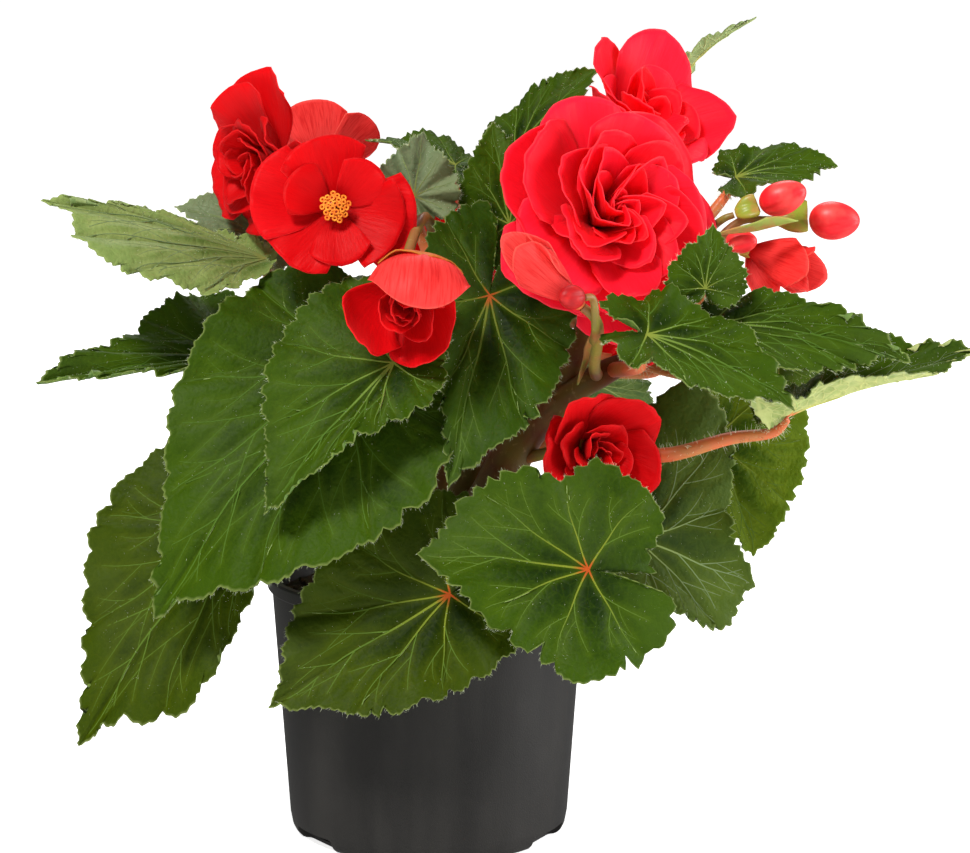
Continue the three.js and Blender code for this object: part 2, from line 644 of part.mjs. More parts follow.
// The stamens of the single bloom: a tuft of short pins in rings, just clear of the heart.
function stamens() {
  const { base, axis, upward, side } = bloomFrame(BLOOMS.find(({ name }) => name === "bloom_single"));
  const at = (radius, angle, height) =>
    base
      .clone()
      .addScaledVector(axis, height)
      .addScaledVector(upward, radius * Math.cos(angle))
      .addScaledVector(side, radius * Math.sin(angle))
      .toArray();
  const foot = HEART_TOP + 2 * GAP + 1.4;
  const pins = [0, 1, 2, 3, 4, 5].map((i) => {
    const angle = (i * Math.PI) / 3;
    return stalk([at(1, angle, foot), at(5, angle, foot + 5)], [1, 1.9], 4, 1);
  });
  const centre = stalk([at(0, 0, foot), at(0, 0, foot + 6.5)], [1, 2], 4, 1);
  return joined([ball(at(0, 0, foot), 2, [1, 1, 0.7], axis.toArray(), 5), centre, ...pins]);
}

// A closed bud: an egg along its axis, a little flattened, as its two outer petals make it.
function budSolid(bud) {
  const centre = vec(bud.base).addScaledVector(vec(bud.axis).normalize(), bud.length / 2);
  const slim = bud.width / bud.length;
  return ball(centre.toArray(), bud.length / 2, [slim, 0.8 * slim, 1], bud.axis);
}

// A winged seed case, three-sided, wide where the petals leave it and narrow at its stalk.
function seedCase(seed) {
  const axis = vec(seed.axis).normalize();
  const at = (share) => vec(seed.base).addScaledVector(axis, share * seed.length).toArray();
  return stalk([at(0), at(0.5), at(1)], [1.6, 0.72 * seed.width, seed.width], 6, 3, 0.5);
}

// The blooms, one row each, with their rings of petals from the outside in.
const BLOOMS = [
  {
    name: "bloom_large", base: [67, -46, 265], axis: [0.48, -0.81, 0.34], middle: 10,
    stalk: [[67, -15, 232], [66, -24, 250]],
    rings: [
      { count: 6, first: 6, length: 50, width: 31, open: 82, curl: -14, cup: 90, ruffle: 2 },
      { count: 5, first: 44, length: 45, width: 29, open: 62, curl: -6, cup: 60, ruffle: 2 },
      { count: 4, first: 25, length: 34, width: 18, open: 38, curl: 10, cup: 26, point: 3 },
    ],
  },
  {
    name: "bloom_top", base: [83, 18, 293], axis: [0.52, -0.52, 0.68], middle: 8,
    stalk: [[50, 7, 246], [72, 20, 268]],
    rings: [
      { count: 5, first: 32, length: 41, width: 24, open: 54, curl: -14, cup: 40, point: 5 },
      { count: 4, first: 60, length: 32, width: 16, open: 34, curl: 4, cup: 24 },
    ],
  },
  {
    name: "bloom_left", base: [-60, -13, 287], axis: [-0.82, -0.56, -0.08], middle: 8,
    stalk: [[-46, -2, 248], [-46, -4, 270]],
    rings: [
      { count: 3, first: 250, length: 38, width: 26, open: 88, curl: -14, cup: 50, ruffle: 2 },
      { count: 4, first: 20, length: 33, width: 20, open: 62, curl: -6, cup: 40, ruffle: 2 },
      { count: 4, first: 60, length: 27, width: 15, open: 38, curl: 4, cup: 24 },
    ],
  },
  {
    name: "bloom_single", base: [-36, -57, 272], axis: [0.05, -0.96, 0.25], middle: 0,
    stalk: [[-45, -2, 244], [-40, -24, 256]],
    rings: [
      { count: 2, first: 78, length: 33, width: 23, open: 84, curl: -4, cup: 60, ruffle: 2 },
      { count: 3, first: 12, length: 27, width: 21, open: 76, curl: -2, cup: 60, ruffle: 2 },
      { count: 3, first: 66, length: 22, width: 14, open: 64, curl: 6, cup: 50 },
    ],
  },
  {
    name: "bloom_left_back", base: [-44, 20, 282], axis: [0.1, 0.8, 0.55], middle: 5,
    stalk: [[-45, -3, 244], [-44, 8, 262]],
    rings: [{ count: 4, first: -15, length: 27, width: 17, open: 58, curl: -6, cup: 40 }],
  },
  {
    name: "bloom_hooded", base: [-7, -84, 246], axis: [0.06, -0.9, -0.43], middle: 12, plump: 1,
    stalk: [[26, -1, 175], [10, -14, 225], [0, -48, 268]],
    rings: [
      { count: 1, first: 350, length: 51, width: 27, open: 98, curl: -168, cup: 24, ruffle: 1 },
      { count: 1, first: 118, length: 36, width: 20, open: 92, curl: -118, cup: 22, ruffle: 1 },
      { count: 1, first: 214, length: 35, width: 25, open: 92, curl: -118, cup: 22, ruffle: 1 },
    ],
  },
  {
    name: "bloom_low", base: [64, -45, 174], axis: [0.36, -0.92, -0.08], middle: 7,
    stalk: [[34, -14, 162], [50, -27, 168]],
    rings: [
      { count: 5, first: 26, length: 29, width: 20, open: 60, curl: -22, cup: 30, point: 5 },
      { count: 4, first: 60, length: 22, width: 12, open: 34, curl: 6, cup: 16 },
    ],
  },
  {
    name: "bloom_inner", base: [84, 8, 216], axis: [0.2, -0.9, 0.3], middle: 5,
    stalk: [[41, 3, 218], [62, 14, 216]],
    rings: [{ count: 5, first: 40, length: 23, width: 13, open: 64, curl: -8, cup: 30 }],
  },
  {
    name: "bloom_half_open", base: [133, -12, 250], axis: [0.82, -0.4, -0.24], middle: 4,
    stalk: [[94, -38, 213], [112, -8, 244]],
    rings: [
      { count: 1, first: 176, length: 24, width: 13, open: 66, curl: -24, cup: 14 },
      { count: 2, first: 70, length: 29, width: 13, open: 26, curl: -12, cup: 14, point: 3 },
      { count: 2, first: 10, length: 24, width: 10, open: 14, curl: -8, cup: 9, point: 3 },
    ],
  },
  {
    name: "bloom_opening", base: [58, -104, 243], axis: [-0.7, -0.2, 0.66], middle: 4,
    stalk: [[70, -28, 200], [68, -58, 209]],
    rings: [
      { count: 2, first: 90, length: 31, width: 12, open: 18, curl: -18, cup: 11, point: 4 },
      { count: 1, first: 0, length: 26, width: 10, open: 10, curl: -12, cup: 9, point: 2 },
    ],
  },
  {
    name: "bloom_back", base: [16, 70, 238], axis: [0.05, 0.85, 0.5], middle: 8,
    stalk: [[14, 47, 216], [15, 56, 228]],
    rings: [
      { count: 5, first: 0, length: 36, width: 21, open: 78, curl: -8, cup: 60, ruffle: 2 },
      { count: 3, first: 36, length: 29, width: 17, open: 46, curl: 4, cup: 26 },
    ],
  },
];

const BUDS = [
  {
    name: "bud_right", base: [157.5, -13, 263], axis: [1, -0.1, -0.02],
    length: 21, width: 15,
  },
  {
    name: "bud_right_upper", base: [135.8, -31, 270.6], axis: [0.9, -0.1, 0.35],
    length: 20, width: 13,
  },
  {
    name: "bud_right_near", base: [122, -32, 256], axis: [0.95, -0.2, 0.05],
    length: 13, width: 9, stalk: [[112, -8, 244], [116, -22, 252]],
  },
  {
    name: "bud_small", base: [62, -110, 244], axis: [-0.6, -0.5, 0.1],
    length: 12, width: 9, stalk: [[67, -84, 223], [67, -103, 232]],
  },
  {
    name: "bud_back", base: [66, 48, 236], axis: [0.6, 0.4, -0.3],
    length: 20, width: 14, stalk: [[14, 47, 216], [40, 40, 236]],
  },
];

const SEED_CASES = [
  {
    name: "seed_case_right", base: [144, -13, 263], axis: [1, 0, 0],
    length: 13, width: 10, stalk: [[112, -8, 244], [129, -6, 261]],
  },
  {
    name: "seed_case_near", base: [126, -30, 267], axis: [0.94, -0.1, 0.35],
    length: 10, width: 7, stalk: [[112, -8, 244], [116, -22, 259]],
  },
];

// Bracts: small leafy scales that sheathe a joint, each one petal-like sheet.
const BRACTS = [
  {
    name: "bract_fork", base: [60, -32.9, 198], axis: [0.3, -0.1, 0.95],
    azimuth: 180, length: 24, width: 9,
  },
  {
    name: "bract_right", base: [118, -38, 262], axis: [1, -0.1, 0.22],
    azimuth: 150, length: 30, width: 8,
  },
];

function bractSolid(bract) {
  const hold = { start: 2, rise: 0, lean: 0, open: 6, curl: -8, cup: 8 };
  const edge = { point: 3, ruffle: 0.5, waves: 4 };
  return petalSheet(bloomFrame(bract), { ...hold, ...edge, ...bract });
}

// A plain stalk to the foot of a bud or a seed case.
function budStalk(bud) {
  const axis = vec(bud.axis).normalize();
  const end = vec(bud.base).addScaledVector(axis, -2 * GAP);
  const near = end.clone().addScaledVector(axis, -4);
  return stalk([...bud.stalk, near.toArray(), end.toArray()], [2, 1.6, 1.3], 4);
}

// The stems that rise from the crown, with their radii, and the flower stalks that leave them.
const STEMS = [
  {
    points: [[6, -2, 94], [16, -8, 128], [34, -16, 162], [54, -22, 190]],
    radii: [9, 9, 8, 6],
  },
  {
    points: [[50, -21, 185], [72, -29, 201], [94, -38, 213]],
    radii: [6, 5, 4],
  },
  {
    points: [[50, -20, 184], [64, -18, 212], [68, -14, 240]],
    radii: [6, 5, 3.4],
  },
  {
    points: [[6, 2, 94], [12, 2, 135], [26, 0, 175], [40, 3, 215], [52, 8, 252]],
    radii: [7, 7, 6, 5, 3.6],
  },
  {
    points: [[0, 0, 94], [-18, 0, 135], [-32, -4, 180], [-42, -4, 225], [-46, -2, 252]],
    radii: [7, 7, 6, 4.6, 3.2],
  },
  {
    points: [[4, 4, 94], [6, 24, 135], [10, 40, 180], [14, 48, 222]],
    radii: [7, 6, 5, 3.6],
  },
];

function plantBody(ends) {
  const root = new THREE.CylinderGeometry(CROWN_RADIUS, CROWN_RADIUS, SOIL_TOP - CROWN_FOOT, 12);
  root.rotateX(Math.PI / 2).translate(CROWN_X, 0, (SOIL_TOP + CROWN_FOOT) / 2);
  const crown = ball([CROWN_X, 0, SOIL_TOP], CROWN_RADIUS - 2, [1, 1, 0.8], [0, 0, 1], 6);
  const stems = STEMS.map(({ points, radii }) => stalk(points, radii, 6, 2 * points.length - 2));
  return joined([solidOf(root), crown, ...stems, ...ends]);
}

const group = new THREE.Group();
const stalks = [
  ...LEAVES.map(leafStalk),
  ...BLOOMS.map(bloomStalk),
  ...[...BUDS, ...SEED_CASES].filter(({ stalk: way }) => way).map(budStalk),
];
group.add(node("pot", pot(), POT_GREY, 0.55));
group.add(node("soil", soil(), SOIL_BROWN, 0.95));
group.add(node("stems", plantBody(stalks), STEM_BROWN, 0.5));
for (const leaf of LEAVES) group.add(node(leaf.name, blade(leaf), GREEN, 0.6));
for (const bloom of BLOOMS) group.add(node(bloom.name, bloomSolid(bloom), RED, 0.45));
for (const bud of BUDS) group.add(node(bud.name, budSolid(bud), CORAL, 0.4));
for (const seed of SEED_CASES) group.add(node(seed.name, seedCase(seed), PALE_GREEN, 0.5));
for (const bract of BRACTS) group.add(node(bract.name, bractSolid(bract), PALE_GREEN, 0.5));
group.add(node("stamens", stamens(), YELLOW, 0.5));

export default group;
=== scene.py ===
import math
import random

import bpy
import numpy as np
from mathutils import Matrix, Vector, noise


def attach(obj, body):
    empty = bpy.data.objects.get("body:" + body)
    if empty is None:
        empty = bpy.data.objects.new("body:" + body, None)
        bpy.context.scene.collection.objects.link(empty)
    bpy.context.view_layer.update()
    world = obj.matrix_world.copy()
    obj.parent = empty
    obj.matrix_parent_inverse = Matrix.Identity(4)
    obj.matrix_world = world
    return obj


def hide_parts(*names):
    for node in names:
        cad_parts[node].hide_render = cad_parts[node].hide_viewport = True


# A tuberous begonia in a nursery pot. Shapes are worked out in millimetres and placed in metres.
MM = 0.001

# The photograph's camera: degrees above the level, metres, and millimetres of lens and film.
PHOTO_ELEVATION = 10
PHOTO_DISTANCE = 1.5
PHOTO_AIM = Vector((0.024, 0, 0.174))
PHOTO_LENS = 132.5
FILM_WIDTH = 36

# Soft lights, each with its place and side in metres, its power in watts and its tint.
LIGHTS = [
    ((-0.65, -1.3, 1.75), 0.45, 52, (1, 0.99, 0.97)),
    ((1.35, -0.1, 0.4), 0.8, 17, (0.99, 0.99, 1)),
    ((0.1, 1.3, 1.6), 0.8, 14, (1, 1, 1)),
]

# How bright the white studio is to the camera, how much of that lights the plant, and the floor's glow.
STUDIO_SEEN = 1.0
STUDIO_LIGHT = 0.26
FLOOR_GLOW = 0.8
FLOOR_SIDE = 40

# Leaves and petals as drawn, and the solid leaves that the stalks end clear of.
BLADE = 0.55
PETAL = 0.5
CAD_BLADE = 0.9
GAP = 0.3
STALK_TIP = 1.7
STALK_BASE = 3.3
HEART_DEPTH = 5
HEART_TOP = 3

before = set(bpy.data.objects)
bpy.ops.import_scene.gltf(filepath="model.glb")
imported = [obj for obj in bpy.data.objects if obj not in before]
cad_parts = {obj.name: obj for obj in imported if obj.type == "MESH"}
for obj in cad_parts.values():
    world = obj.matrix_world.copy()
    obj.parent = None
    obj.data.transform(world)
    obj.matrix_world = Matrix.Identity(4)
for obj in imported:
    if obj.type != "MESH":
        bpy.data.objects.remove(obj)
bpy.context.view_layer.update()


# Camera, lights and floor

# The turn that makes a camera or light at a place look at the plant.
def facing(place):
    return (PHOTO_AIM - Vector(place)).to_track_quat("-Z", "Y").to_euler()


def set_stage():
    lift = math.radians(PHOTO_ELEVATION)
    place = PHOTO_AIM + PHOTO_DISTANCE * Vector((0, -math.cos(lift), math.sin(lift)))
    bpy.ops.object.camera_add(location=place)
    camera = bpy.context.object
    camera.rotation_euler = facing(place)
    camera.data.sensor_width = FILM_WIDTH
    camera.data.lens = PHOTO_LENS
    bpy.context.scene.camera = camera

    for place, side, power, tint in LIGHTS:
        bpy.ops.object.light_add(type="AREA", location=place)
        light = bpy.context.object
        light.rotation_euler = facing(place)
        light.data.size = side
        light.data.energy = power
        light.data.color = tint

    world = bpy.data.worlds.new("studio")
    bpy.context.scene.world = world
    world.use_nodes = True
    sky = Nodes(world.node_tree)
    sky.tree.nodes.clear()
    seen = sky.add("ShaderNodeLightPath")["Is Camera Ray"]
    strength = STUDIO_LIGHT + (STUDIO_SEEN - STUDIO_LIGHT) * seen
    white = sky.add("ShaderNodeBackground", Color=(1, 1, 1, 1), Strength=strength)
    sky.add("ShaderNodeOutputWorld", Surface=white["Background"])
    bpy.context.scene.view_settings.view_transform = "Standard"

    bpy.ops.mesh.primitive_plane_add(size=FLOOR_SIDE)
    floor = bpy.context.object
    floor.name = "floor"
    paint = plain_material("floor_white", (0.9, 0.9, 0.9), 0.9)
    shader = principled(paint)
    shader.inputs["Emission Color"].default_value = (1, 1, 1, 1)
    shader.inputs["Emission Strength"].default_value = FLOOR_GLOW
    floor.data.materials.append(paint)
    floor.visible_glossy = False


# Shader sockets that take part in Python sums

class Value:
    def __init__(self, nodes, socket):
        self.nodes = nodes
        self.socket = socket

    def maths(self, operation, first, second):
        made = self.nodes.tree.nodes.new("ShaderNodeMath")
        made.operation = operation
        self.nodes.put(made.inputs[0], first)
        self.nodes.put(made.inputs[1], second)
        return Value(self.nodes, made.outputs[0])

    def __add__(self, other):
        return self.maths("ADD", self, other)

    def __rsub__(self, other):
        return self.maths("SUBTRACT", other, self)

    def __mul__(self, other):
        return self.maths("MULTIPLY", self, other)

    __radd__ = __add__
    __rmul__ = __mul__


class Nodes:
    def __init__(self, tree):
        self.tree = tree

    def put(self, place, value):
        if isinstance(value, Value):
            self.tree.links.new(value.socket, place)
        else:
            place.default_value = value

    # Adds a node: settings are given first, by lower-case names, then sockets by their own names.
    def add(self, kind, settings=None, **sockets):
        made = self.tree.nodes.new(kind)
        for name, value in (settings or {}).items():
            setattr(made, name, value)
        for name, value in sockets.items():
            self.put(made.inputs[name.replace("_", " ")], value)
        return {socket.name: Value(self, socket) for socket in made.outputs}

    def ramp(self, value, low, high):
        return self.add(
            "ShaderNodeMapRange",
            {"interpolation_type": "SMOOTHSTEP"},
            Value=value, From_Min=low, From_Max=high,
        )["Result"]

    def mix(self, factor, first, second):
        made = self.tree.nodes.new("ShaderNodeMix")
        made.data_type = "RGBA"
        self.put(made.inputs[0], factor)
        self.put(made.inputs[6], first)
        self.put(made.inputs[7], second)
        return Value(self, made.outputs[2])

    def noise(self, place, scale, detail=3):
        return self.add("ShaderNodeTexNoise", Vector=place, Scale=scale, Detail=detail)["Fac"]

    # A net of cells: 0 on its threads.
    def net(self, place, scale):
        return self.add(
            "ShaderNodeTexVoronoi",
            {"feature": "DISTANCE_TO_EDGE"},
            Vector=place, Scale=scale, Randomness=0.9,
        )["Distance"]

    # Small round dots: 1 inside them, and 0 past the far distance.
    def dots(self, place, scale, near, far):
        centres = self.add("ShaderNodeTexVoronoi", Vector=place, Scale=scale)["Distance"]
        return 1 - self.ramp(centres, near, far)

    def stretched(self, place, scale):
        return self.add("ShaderNodeMapping", Vector=place, Scale=scale)["Vector"]

    def attribute(self, name):
        return self.add("ShaderNodeAttribute", {"attribute_name": name})["Fac"]

    def bump(self, height, depth, strength):
        return self.add("ShaderNodeBump", Height=height, Distance=depth, Strength=strength)["Normal"]

    def object_place(self):
        return self.add("ShaderNodeTexCoord")["Object"]

    def map_place(self, name):
        return self.add("ShaderNodeUVMap", {"uv_map": name})["UV"]


def rgb(red, green, blue):
    return (red, green, blue, 1)


def principled(material):
    return material.node_tree.nodes["Principled BSDF"]


def plain_material(name, colour, roughness, shine=0.5):
    material = bpy.data.materials.new(name)
    material.use_nodes = True
    shader = principled(material)
    shader.inputs["Base Color"].default_value = rgb(*colour)
    shader.inputs["Roughness"].default_value = roughness
    shader.inputs["Specular IOR Level"].default_value = shine
    return material


# Gives a material its varying colour, roughness and bump, and the light that passes through it.
def dress(material, colour, roughness=None, normal=None, through=0.0, glow=None):
    nodes = Nodes(material.node_tree)
    shader = principled(material)
    nodes.put(shader.inputs["Base Color"], colour)
    if roughness is not None:
        nodes.put(shader.inputs["Roughness"], roughness)
    if normal is not None:
        nodes.put(shader.inputs["Normal"], normal)
    if through:
        behind = nodes.add("ShaderNodeBsdfTranslucent", Color=glow)["BSDF"]
        front = Value(nodes, shader.outputs[0])
        made = nodes.tree.nodes.new("ShaderNodeMixShader")
        for place, value in zip(made.inputs, (through, front, behind)):
            nodes.put(place, value)
        nodes.put(nodes.tree.nodes["Material Output"].inputs["Surface"], Value(nodes, made.outputs[0]))
    return material


# Finishes

# Patterns on leaves, as cells to 100 mm of the blade. The first sets the patches of painted sheen, and the
# third the patches where painted glints show on the hairs.
LEAF_SHEEN_PATCHES = 2.2
LEAF_CLOUD = 3.2
LEAF_GLINT_PATCHES = 9.0
LEAF_NET = 24.0
LEAF_BLOTCH = 26.0
LEAF_GRAIN = 75.0
LEAF_DOTS = 150.0
BACK_BLOTCH = 20.0

# The colour of the painted glints on the leaf hairs.
HAIR_GLINT = (0.24, 0.3, 0.18)
DULL_GREEN = (0.1, 0.125, 0.075)
RIM_GREEN = (0.28, 0.34, 0.1)


# The upper side: clouded green, darker towards the joint as painted shade, with a fine net of veins, grey
# patches of painted sheen, pale dots of painted glint on its hairs and a pale rim.
def leaf_face_material(name, dark, light, dull=0.0):
    material = plain_material(name, light, 0.5, shine=0.07 + 0.2 * dull)
    nodes = Nodes(material.node_tree)
    place = nodes.map_place("flat")
    cloud = nodes.noise(place, LEAF_CLOUD, 2)
    blotch = nodes.noise(place, LEAF_BLOTCH, 4)
    fine = nodes.noise(place, LEAF_GRAIN, 2)
    rim = nodes.attribute("rim")
    # The rim share in the tone makes the blade darker near the joint and lighter out to the margin:
    # painted shade.
    tone = nodes.ramp(0.48 * cloud + 0.14 * blotch + 0.3 * rim + 0.14 * fine, 0.39, 0.71)
    green = nodes.mix(tone, rgb(*dark), rgb(*light))
    net = nodes.net(place, LEAF_NET)
    line = 1 - nodes.ramp(net, 0.0, 0.07)
    pale = rgb(light[0] * 1.8, light[1] * 1.5, light[2] * 2)
    veined = nodes.mix(line * 0.16, green, pale)
    veined = nodes.mix(nodes.attribute("near") * 0.5, veined, pale)
    # Grey-green patches of painted sheen, for light glancing off the hairy blade. Dull leaves have more of
    # it.
    painted_sheen = nodes.ramp(nodes.noise(place, LEAF_SHEEN_PATCHES, 2), 0.42, 0.68) * (0.2 + dull)
    sheened = nodes.mix(painted_sheen, veined, rgb(light[0] * 1.3 + 0.025, light[1] * 1.1 + 0.03, light[2] + 0.02))
    # Pale dots of painted glint on the hairs, shown in patches, more on dull leaves. The dots also roughen
    # the bump.
    dots = nodes.dots(place, LEAF_DOTS, 0.06, 0.17)
    glint_patches = nodes.ramp(nodes.noise(place, LEAF_GLINT_PATCHES, 2), 0.45, 0.65)
    glinted = nodes.mix(dots * glint_patches * (0.05 + 0.5 * dull), sheened, rgb(*HAIR_GLINT))
    dulled = nodes.mix(dull, glinted, rgb(*DULL_GREEN)) if dull else glinted
    edged = nodes.mix(nodes.ramp(rim, 0.985, 1.0) * 0.45, dulled, rgb(*RIM_GREEN))
    height = 0.55 * blotch + 0.16 * nodes.ramp(net, 0.0, 0.3) + 0.4 * fine + 0.1 * dots
    return dress(
        material,
        edged,
        roughness=0.42 + 0.2 * blotch,
        normal=nodes.bump(height, MM, 0.8),
        through=0.13,
        glow=rgb(0.12, 0.28, 0.002),
    )


def leaf_back_material(name, tint):
    material = plain_material(name, tint, 0.6)
    nodes = Nodes(material.node_tree)
    place = nodes.map_place("flat")
    blotch = nodes.noise(place, BACK_BLOTCH, 4)
    line = 1 - nodes.ramp(nodes.net(place, LEAF_NET), 0.0, 0.12)
    deep = rgb(tint[0] * 0.6, tint[1] * 0.7, tint[2] * 0.5)
    green = nodes.mix(nodes.ramp(blotch, 0.35, 0.7), deep, rgb(*tint))
    pale = rgb(tint[0] * 1.5 + 0.05, tint[1] * 1.3 + 0.05, tint[2] * 1.4)
    veined = nodes.mix(0.35 * line + 0.3 * nodes.attribute("near"), green, pale)
    normal = nodes.bump(line + 0.4 * blotch, 0.5 * MM, 0.6)
    return dress(material, veined, normal=normal, through=0.14, glow=rgb(0.2, 0.34, 0.04))


# A vein has one colour at the joint, one a little way on and one at its end. The attribute "along"
# runs from 0 to 1.
def vein_material(name, root, middle, end):
    material = plain_material(name, end, 0.65, shine=0.1)
    nodes = Nodes(material.node_tree)
    along = nodes.attribute("along")
    warm = nodes.mix(nodes.ramp(along, 0.02, 0.11), rgb(*root), rgb(*middle))
    whole = nodes.mix(nodes.ramp(along, 0.12, 0.6), warm, rgb(*end))
    return dress(material, whole)


# A petal runs from a darker colour at its foot, painted shade deep in the bloom (green on the sepal), to
# its own red, which its tone turns paler pink. It has fine lines along it and a pale rim of painted
# highlight.
def petal_material(name, red, deep, edge, rim, lines=0.25, through=0.42):
    material = plain_material(name, red, 0.42, shine=0.1)
    shader = principled(material)
    shader.inputs["Sheen Weight"].default_value = 0.06
    shader.inputs["Sheen Roughness"].default_value = 0.5
    shader.inputs["Sheen Tint"].default_value = rgb(1, 0.35, 0.35)
    nodes = Nodes(material.node_tree)
    place = nodes.map_place("UVMap")
    along = nodes.add("ShaderNodeSeparateXYZ", Vector=place)["Y"]
    streak = nodes.noise(nodes.stretched(place, (26.0, 2.2, 1.0)), 1.0, 4)
    hairline = nodes.noise(nodes.stretched(place, (70.0, 4.0, 1.0)), 1.0, 2)
    grain = nodes.noise(nodes.object_place(), 900.0, 3)
    far = nodes.mix(nodes.attribute("tone"), rgb(*red), rgb(*edge))
    # Darker towards the foot: painted shade deep in the bloom.
    base = nodes.mix(nodes.ramp(along, 0.02, 0.42), rgb(*deep), far)
    broad = nodes.mix(nodes.ramp(streak, 0.48, 0.72) * lines, base, rgb(*deep))
    lined = nodes.mix(nodes.ramp(hairline, 0.5, 0.7) * lines * 0.8, broad, rgb(*deep))
    # A pale line along the thin edge: painted highlight.
    edged = nodes.mix(nodes.ramp(nodes.attribute("edge"), 0.98, 1.0) * 0.25, lined, rgb(*rim))
    height = 0.7 * streak + 0.25 * hairline + 0.15 * grain
    return dress(
        material,
        edged,
        roughness=0.36 + 0.16 * streak,
        normal=nodes.bump(height, 0.7 * MM, 0.7),
        through=through,
        glow=rgb(min(1, red[0] * 1.1), red[1] * 1.2, red[2] * 1.1),
    )


# Brown-olive at the foot of a stem. Leaf stalks run to orange, and flower stalks to yellow-green.
def stem_material():
    material = plain_material("stem_skin", (0.3, 0.12, 0.05), 0.42, shine=0.35)
    nodes = Nodes(material.node_tree)
    place = nodes.object_place()
    patch = nodes.noise(place, 55.0, 4)
    fine = nodes.noise(place, 420.0, 3)
    olive = nodes.mix(nodes.ramp(patch, 0.35, 0.65), rgb(0.11, 0.03, 0.008), rgb(0.13, 0.09, 0.015))
    orange = nodes.mix(nodes.ramp(patch, 0.35, 0.7), rgb(0.6, 0.12, 0.04), rgb(0.45, 0.18, 0.05))
    yellow = nodes.mix(nodes.ramp(patch, 0.4, 0.6), rgb(0.2, 0.17, 0.03), rgb(0.26, 0.1, 0.03))
    stalk = nodes.mix(nodes.attribute("ripe"), orange, yellow)
    whole = nodes.mix(nodes.ramp(nodes.attribute("along"), 0.05, 0.5), olive, stalk)
    dotted = nodes.mix(nodes.ramp(fine, 0.6, 0.75) * 0.25, whole, rgb(0.5, 0.3, 0.13))
    return dress(material, dotted, normal=nodes.bump(0.6 * patch + 0.4 * fine, 0.6 * MM, 0.5))


def pot_material():
    material = plain_material("pot_plastic", (0.016, 0.015, 0.015), 0.55, shine=0.36)
    nodes = Nodes(material.node_tree)
    place = nodes.object_place()
    flow = nodes.noise(nodes.stretched(place, (1.0, 1.0, 0.12)), 60.0, 3)
    grain = nodes.noise(place, 1500.0, 2)
    dust = nodes.noise(place, 35.0, 5)
    tone = nodes.mix(nodes.ramp(flow, 0.3, 0.7), rgb(0.013, 0.012, 0.011), rgb(0.02, 0.0185, 0.0165))
    dusted = nodes.mix(nodes.ramp(dust, 0.55, 0.8) * 0.1, tone, rgb(0.06, 0.055, 0.05))
    return dress(
        material,
        dusted,
        roughness=0.46 + 0.14 * flow,
        normal=nodes.bump(0.7 * grain + 0.3 * flow, 0.25 * MM, 0.5),
    )


def soil_material():
    material = plain_material("compost", (0.03, 0.02, 0.012), 0.95)
    nodes = Nodes(material.node_tree)
    place = nodes.object_place()
    crumb = nodes.noise(place, 260.0, 5)
    brown = nodes.mix(nodes.ramp(crumb, 0.35, 0.65), rgb(0.012, 0.008, 0.005), rgb(0.06, 0.037, 0.02))
    fleck = nodes.dots(place, 420.0, 0.1, 0.25)
    flecked = nodes.mix(fleck * 0.3, brown, rgb(0.16, 0.11, 0.06))
    return dress(material, flecked, normal=nodes.bump(crumb, 2 * MM, 0.8))


def waxy_material(name, first, second, scale=120.0, roughness=0.35):
    material = plain_material(name, first, roughness, shine=0.26)
    nodes = Nodes(material.node_tree)
    place = nodes.object_place()
    patch = nodes.noise(place, scale, 3)
    fine = nodes.noise(place, 900.0, 2)
    tint = nodes.mix(nodes.ramp(patch, 0.4, 0.62), rgb(*first), rgb(*second))
    return dress(material, tint, normal=nodes.bump(0.5 * patch + 0.2 * fine, 0.5 * MM, 0.4))


# Meshes from grids and tubes

TOUCHING = 1e-6
FILM = 1e-12


def select_only(*pieces):
    bpy.ops.object.select_all(action="DESELECT")
    for piece in pieces:
        piece.select_set(True)
    bpy.context.view_layer.objects.active = pieces[0]


# Opens a piece in edit mode with its whole mesh selected, takes the steps and closes it again.
def edit(piece, *steps):
    select_only(piece)
    bpy.ops.object.mode_set(mode="EDIT")
    bpy.ops.mesh.select_all(action="SELECT")
    for step in steps:
        step()
    bpy.ops.object.mode_set(mode="OBJECT")


def close_seam():
    bpy.ops.mesh.remove_doubles(threshold=TOUCHING)


def turn_outward():
    bpy.ops.mesh.select_all(action="SELECT")
    bpy.ops.mesh.normals_make_consistent(inside=False)


def fill_openings():
    bpy.ops.mesh.select_all(action="DESELECT")
    bpy.ops.mesh.select_non_manifold()
    bpy.ops.mesh.edge_face_add()


# Shades a piece smooth, apart from edges sharper than an angle in degrees where one is given.
def smooth(piece, sharp=None):
    select_only(piece)
    if sharp is None:
        bpy.ops.object.shade_smooth()
    else:
        bpy.ops.object.shade_smooth_by_angle(angle=math.radians(sharp))


# Bakes the turn and scale of pieces into their meshes, so that each object sits at the origin.
def settle(*pieces):
    select_only(*pieces)
    bpy.ops.object.transform_apply(location=True, rotation=True, scale=True)


# A flat grid whose corners are then placed by a formula of u and v, which run from 0 to 1.
def grid(name, columns, rows, place):
    bpy.ops.object.select_all(action="DESELECT")
    bpy.ops.mesh.primitive_grid_add(x_subdivisions=columns, y_subdivisions=rows, size=2)
    piece = bpy.context.object
    rename(piece, name)
    corners = np.empty(3 * len(piece.data.vertices))
    piece.data.vertices.foreach_get("co", corners)
    u, v = (corners.reshape(-1, 3)[:, :2].T + 1) / 2
    points = place(u, v)
    piece.data.vertices.foreach_set("co", (points * MM).ravel())
    piece.data.update()
    return piece, u, v


def rename(piece, name):
    piece.name = name
    piece.data.name = name


def apply_modifier(piece, name, kind, **settings):
    select_only(piece)
    modifier = piece.modifiers.new(name, kind)
    for setting, value in settings.items():
        setattr(modifier, setting, value)
    bpy.ops.object.modifier_apply(modifier=modifier.name)


